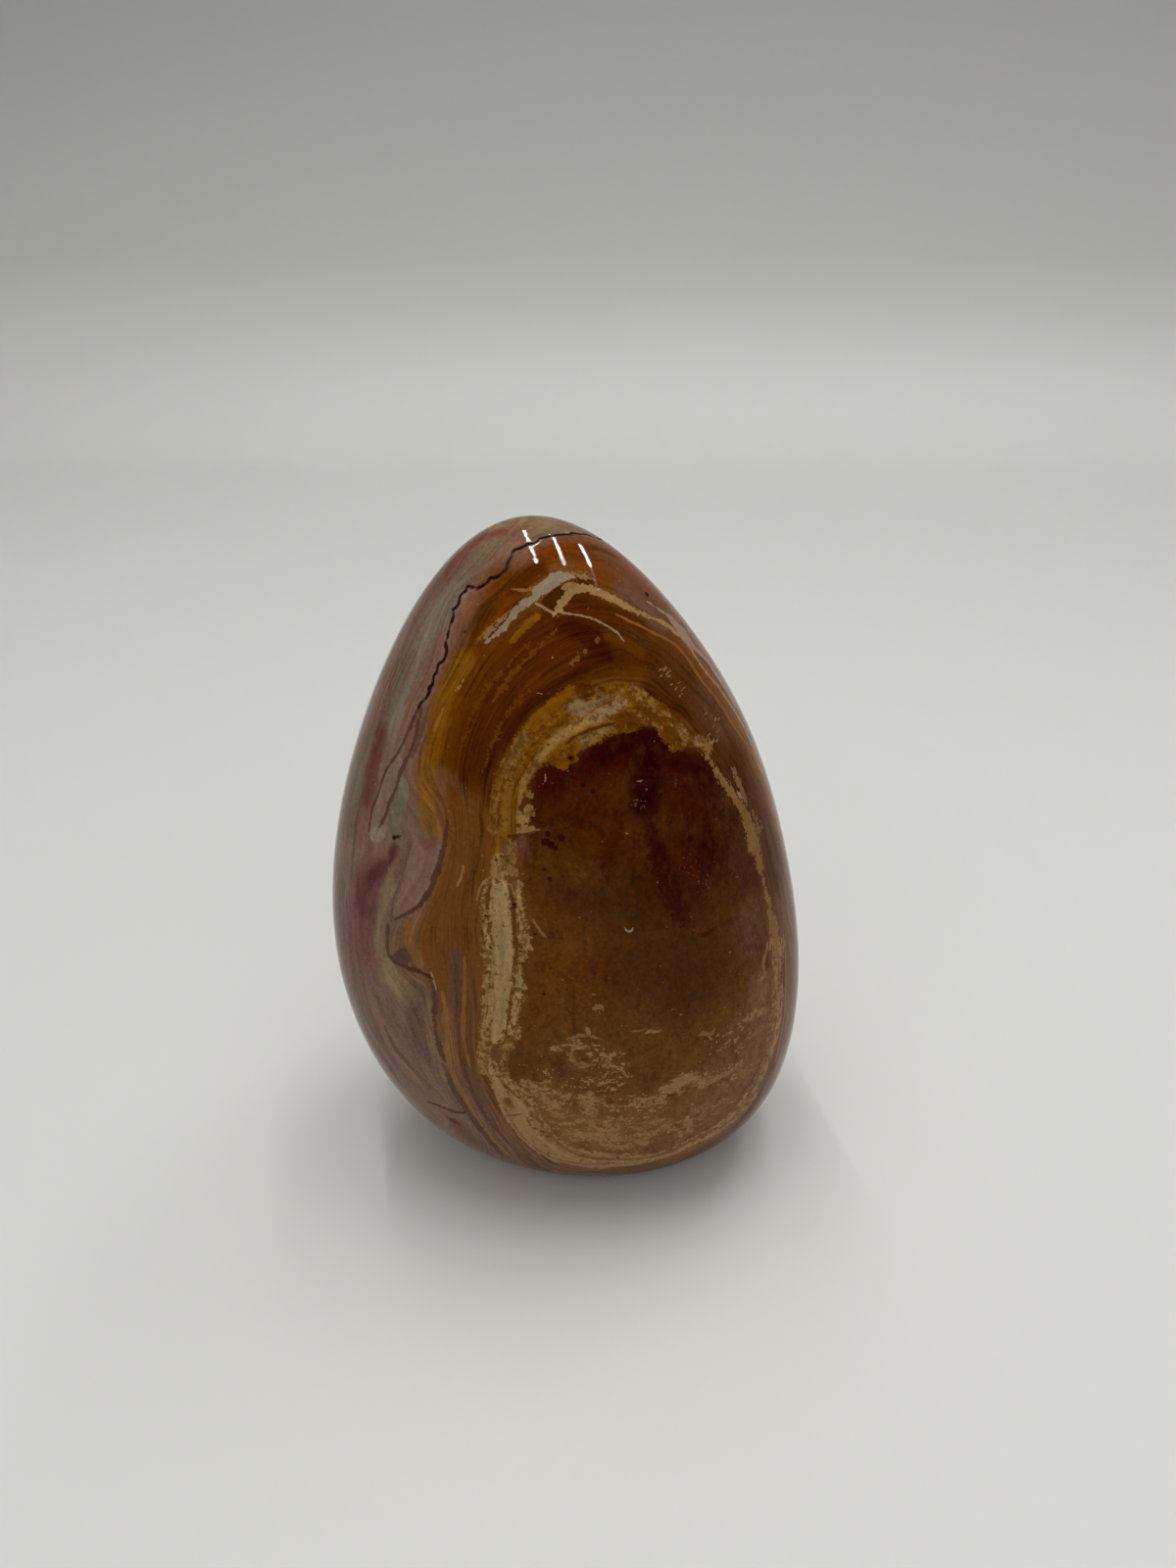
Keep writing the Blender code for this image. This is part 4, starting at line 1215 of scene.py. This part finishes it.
# the bands' own streaks, from broad to hair-fine, and the flames of the ochre
broad = streaks(1.7, 26.0, 3.0, 4.0, 0.6)
fine = streaks(0.55, 12.0, 7.0, 4.0, 0.6)
hair = streaks(0.30, 6.0, 13.0, 3.0)
flame = streaks(4.5, 45.0, 11.0)
lightness = 1 + streaked * (broad * 0.34 + fine * 0.44 + hair * 0.44 + flame * 0.12) + grit * 0.26
colour = read("ground", "Color").scaled(lightness)
dark_flames = (broad * 0.7 + fine * 0.9 + hair * 0.7).above(0.50, 0.5)
mauve_streaks = (streaks(1.1, 22.0, 17.0, 3.0) + fine * 0.4).above(0.40, 0.4)
gold_flames = (broad * 0.4 + fine * 0.8 + hair * 0.8 + flame * 0.4).above(0.85, 0.5)
colour = colour.mixed(FLAME_DARK, flamed * dark_flames * 0.65)
colour = colour.mixed(MAUVE, streaked * (1 - flamed) * mauve_streaks * 0.5)
colour = colour.mixed(FLAME_GOLD, flamed * gold_flames * 0.42)

# the marbled side outside the seam
outside = band.above(17.5, 3.0)
marble = cloud(4.5, 81.0, 6.0, (1, 1, 2.2), 0.62) + broad * 0.35
colour = colour.mixed(ROSE, outside * marble.above(0.50, 0.6) * 0.55)
colour = colour.mixed(ASH, outside * marble.above(-0.45, -0.6) * 0.45)

# the clouded core
veiled = cloud(3.5, 5.0, 5.0, rough=0.65) * 0.16
grained = cloud(0.9, 27.0, 3.0, (1, 1, 1.6), 0.75) * 0.40 + cloud(0.45, 29.0, 1.0) * 0.18
reddened = read("reddened")
colour = colour.scaled(1 + cored * (veiled + grained * (1 + reddened * 0.8)))
olive_cloud = cloud(2.0, 31.0, 6.0, (1, 1, 1.5), 0.72)
colour = colour.mixed(CORE_OLIVE, cored * olive_cloud.above(0.35, 0.7) * 0.30)
red_cloud = cloud(1.3, 35.0, 6.0, (1, 1, 1.8), 0.76)
colour = colour.mixed(CORE_RED, cored * reddened * red_cloud.above(0.10, 0.6) * 0.7)

# the pieces of band
pieces = read("pieces", "Alpha") + ragged * 0.22
piece_colour = read("pieces", "Color").scaled(1 + fine * 0.24 + grained * 0.5 + grit * 0.14)
colour = colour.mixed(piece_colour, pieces.above(0.0, 0.22))

# the cream bands, which are crusted and full of pores
porous = read("porous")
stray = ragged * (0.30 + porous * 0.30) + chips * porous * 0.20
cream = read("cream", "Alpha") + stray + frayed * (0.12 + porous * 0.20)
along = hair * 0.14 + fine * 0.10 + porous * (frayed * 0.34 + fine * 0.26)
patchy = cloud(1.3, 45.0, 4.0, rough=0.65)
cream_lightness = 1 + along + grit * (0.16 + porous * 0.14) + patchy * (0.12 + porous * 0.20)
cream_colour = read("cream", "Color").scaled(cream_lightness)
mottling = cloud(0.90, 37.0, 3.0, rough=0.8) * 1.10 + frayed * 0.60
cream_colour = cream_colour.mixed(PORE_COLOUR, (porous + mottling).above(0.92, 0.40) * 0.85)
crust = cloud(0.80, 47.0, 3.0, rough=0.8) + frayed * 0.6 + patchy * 0.4 + porous * 0.3
cream_colour = cream_colour.mixed(CRUST_COLOUR, porous * crust.above(0.62, 0.30) * 0.65)
chalk = cream.above(0.0, 0.14 + porous * 0.25)
colour = colour.mixed(cream_colour, chalk)

# the blotches below the core, and the specks
blotched = read("blotched")
flecks = cloud(0.9, 41.0, 2.0, (2.2, 1.5, 0.8), 0.75) * 0.60 + cloud(0.42, 43.0, 1.0) * 0.46
haze = (blotched + cloud(2.0, 39.0, 4.0, (2.5, 1, 1), 0.6) * 0.35).above(0.58, 0.6) * 0.16
crisp = (blotched + flecks).above(0.74, 0.14) * 0.85
colour = colour.mixed(BLOTCH_COLOUR, haze + crisp * (1 - haze))
specks = read("specked") + cloud(0.40, 51.0, 3.0, rough=0.7) * 0.62
colour = colour.mixed(SPECK_COLOUR, specks.above(0.95, 0.20) * 0.55)

# the lines, the dark spots and the open hollows
for name, soft in (("pale", 0.10), ("dark", 0.12), ("veins", 0.09)):
    line_colour = read(name + "_colour", "Color").scaled(1 + cloud(0.6, 61.0, 4.0, rough=0.65) * 0.26)
    colour = colour.mixed(line_colour, line_cover(name, soft) * (0.80 + chips * 0.12))
colour = colour.mixed(SPOT_COLOUR, (read("spotted") + ragged * 0.10).above(0.0, 0.16) * 0.92)
hollow = read("hollow").above(0.13, 0.2)
colour = colour.mixed(HOLLOW_COLOUR, hollow)

polish = POLISH_ROUGHNESS + chalk * (CHALKY_ROUGHNESS - POLISH_ROUGHNESS) + cloud(6.0, 71.0) * 0.006
dull = polish + hollow * (HOLLOW_ROUGHNESS - POLISH_ROUGHNESS)
wave = {"Strength": 1.0, "Distance": POLISH_WAVE * MM, "Height": cloud(0.35, 91.0, 2.0)}
shader = jasper.node_tree.nodes["Principled BSDF"]
shader.inputs["IOR"].default_value = REFRACTION
shader.inputs["Specular IOR Level"].default_value = SHEEN_LEVEL
jasper.node_tree.links.new(colour.socket, shader.inputs["Base Color"])
jasper.node_tree.links.new(dull.socket, shader.inputs["Roughness"])
jasper.node_tree.links.new(here.add("ShaderNodeBump", {}, wave).socket, shader.inputs["Normal"])

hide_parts("jasper_stone")
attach(stone, "root")


# The surroundings. A pale seamless sweep of paper runs back from under the stone and curves up into a wall,
# where a painted shade darkens its colour upwards, as the light falls off there. Three lamp tubes hang over
# it, with a bright panel to each side and a soft glow from above and from the front.
FLOOR_HALF_WIDTH = 0.9
FLOOR_FRONT = -0.7
SWEEP_START = 0.50
SWEEP_RADIUS = 0.10
SWEEP_STEPS = 16
WALL_TOP = 1.2
PAPER = (0.72, 0.725, 0.70)
PAPER_ROUGHNESS = 0.6
PAPER_SHEEN = 0.05
# painted shade: the paper's colour darkens between these heights, standing in for the light falling off up
# the wall
WALL_PAINTED_SHADE = 0.52
PAINTED_SHADE_FROM = -0.02
PAINTED_SHADE_TO = 0.34

profile = [(FLOOR_FRONT, 0.0), (SWEEP_START, 0.0)]
for step in range(1, SWEEP_STEPS + 1):
    turn = step / SWEEP_STEPS * math.pi / 2
    profile.append((SWEEP_START + SWEEP_RADIUS * math.sin(turn), SWEEP_RADIUS * (1 - math.cos(turn))))
profile.append((SWEEP_START + SWEEP_RADIUS, WALL_TOP))
floor_points = [(x, y, z) for y, z in profile for x in (-FLOOR_HALF_WIDTH, FLOOR_HALF_WIDTH)]
floor_faces = [(2 * i, 2 * i + 1, 2 * i + 3, 2 * i + 2) for i in range(len(profile) - 1)]
floor_mesh = bpy.data.meshes.new("floor")
floor_mesh.from_pydata(floor_points, [], floor_faces)
floor_mesh.shade_smooth()
floor = bpy.data.objects.new("floor", floor_mesh)
add_to_scene(floor)
paper = bpy.data.materials.new("paper")
paper.use_nodes = True
on_paper = Signal(paper.node_tree)
paper_spot = on_paper.add("ShaderNodeTexCoord", {}, {}, "Object")
paper_height = on_paper.add("ShaderNodeSeparateXYZ", {}, {0: paper_spot}, "Z")
# painted shade on the wall, from the paper's colour up to its darker top
painted_wall_shade = on_paper.add(
    "ShaderNodeMapRange", {"interpolation_type": "SMOOTHSTEP"},
    {"Value": paper_height, "From Min": PAINTED_SHADE_FROM, "From Max": PAINTED_SHADE_TO},
)
paper_and_painted_shade = {6: (*PAPER, 1), 7: (*(channel * WALL_PAINTED_SHADE for channel in PAPER), 1)}
paper_colour = on_paper.add("ShaderNodeMix", {"data_type": "RGBA"}, {0: painted_wall_shade, **paper_and_painted_shade}, 2)
paper_shader = paper.node_tree.nodes["Principled BSDF"]
paper.node_tree.links.new(paper_colour.socket, paper_shader.inputs["Base Color"])
paper_shader.inputs["Roughness"].default_value = PAPER_ROUGHNESS
paper_shader.inputs["Specular IOR Level"].default_value = PAPER_SHEEN
floor_mesh.materials.append(paper)

ROOM_COLOUR = (1.0, 0.97, 0.93, 1)
ROOM_GLOW = 0.29
CEILING_GLOW = 0.61
FRONT_GLOW = 0.53
SIDE_GLOW = 0.14
TUBE_WIDTH = 0.011
TUBE_GLOW = 58
TUBE_TURN = 12
TUBES = ((-0.074, 0.25, 0.90, 0.72), (0.244, 0.25, 0.90, 0.50), (0.455, 0.41, 0.75, 0.33))  # x, y, z, length
# The tubes with the glow round them, as the polish mirrors them, stand a little apart from those that light
SHINE_WIDTH = 0.027
SHINE_GLOW = 330
SHINE_APART = (0.08, 0.1)
END_SHINE = (0.518, 0.112, 0.75)
END_SHINE_LENGTH = 0.28


def soft_light(name, place, turn, size, glow, mirrored=True, lights=True, spread=180):
    """A rectangular lamp in metres, which faces down until it is turned, as bright as a glowing surface.
    It may be kept out of the polish's mirror image, or be seen there alone and light nothing."""
    data = bpy.data.lights.new(name, "AREA")
    data.shape = "RECTANGLE"
    data.size, data.size_y = size
    data.energy = glow * math.pi * size[0] * size[1]
    data.spread = math.radians(spread)
    light = bpy.data.objects.new(name, data)
    light.location = place
    light.rotation_euler = [math.radians(a) for a in turn]
    light.visible_glossy = mirrored
    light.visible_diffuse = lights
    add_to_scene(light)


def tube(name, place, width, length, glow, **shown):
    soft_light(name, place, (0, 0, TUBE_TURN), (width, length), glow, **shown)


world = bpy.data.worlds.new("room")
world.use_nodes = True
world.node_tree.nodes["Background"].inputs["Color"].default_value = ROOM_COLOUR
world.node_tree.nodes["Background"].inputs["Strength"].default_value = ROOM_GLOW
world.cycles_visibility.glossy = False
bpy.context.scene.world = world
for number, (x, y, z, length) in enumerate(TUBES):
    beside = (x - SHINE_APART[0], y - SHINE_APART[1], z)
    tube("tube_%d" % number, beside, TUBE_WIDTH, length, TUBE_GLOW, mirrored=False)
    tube("shine_%d" % number, (x, y, z), SHINE_WIDTH, length, SHINE_GLOW, lights=False)
tube("shine_end", END_SHINE, SHINE_WIDTH * 0.8, END_SHINE_LENGTH, SHINE_GLOW * 0.07, lights=False)
soft_light("ceiling", (0.0, -0.04, 0.70), (0, 0, 0), (0.7, 0.5), CEILING_GLOW, mirrored=False, spread=120)
for side in (-1, 1):
    name = "side_%d" % side
    soft_light(name, (0.6 * side, 0.1, 0.35), (0, 90 * side, 0), (0.7, 0.9), SIDE_GLOW, lights=False)
soft_light("front_fill", (0.0, -0.55, 0.45), (60, 0, 0), (1.2, 0.6), FRONT_GLOW, mirrored=False)
bpy.context.scene.view_settings.view_transform = "Standard"
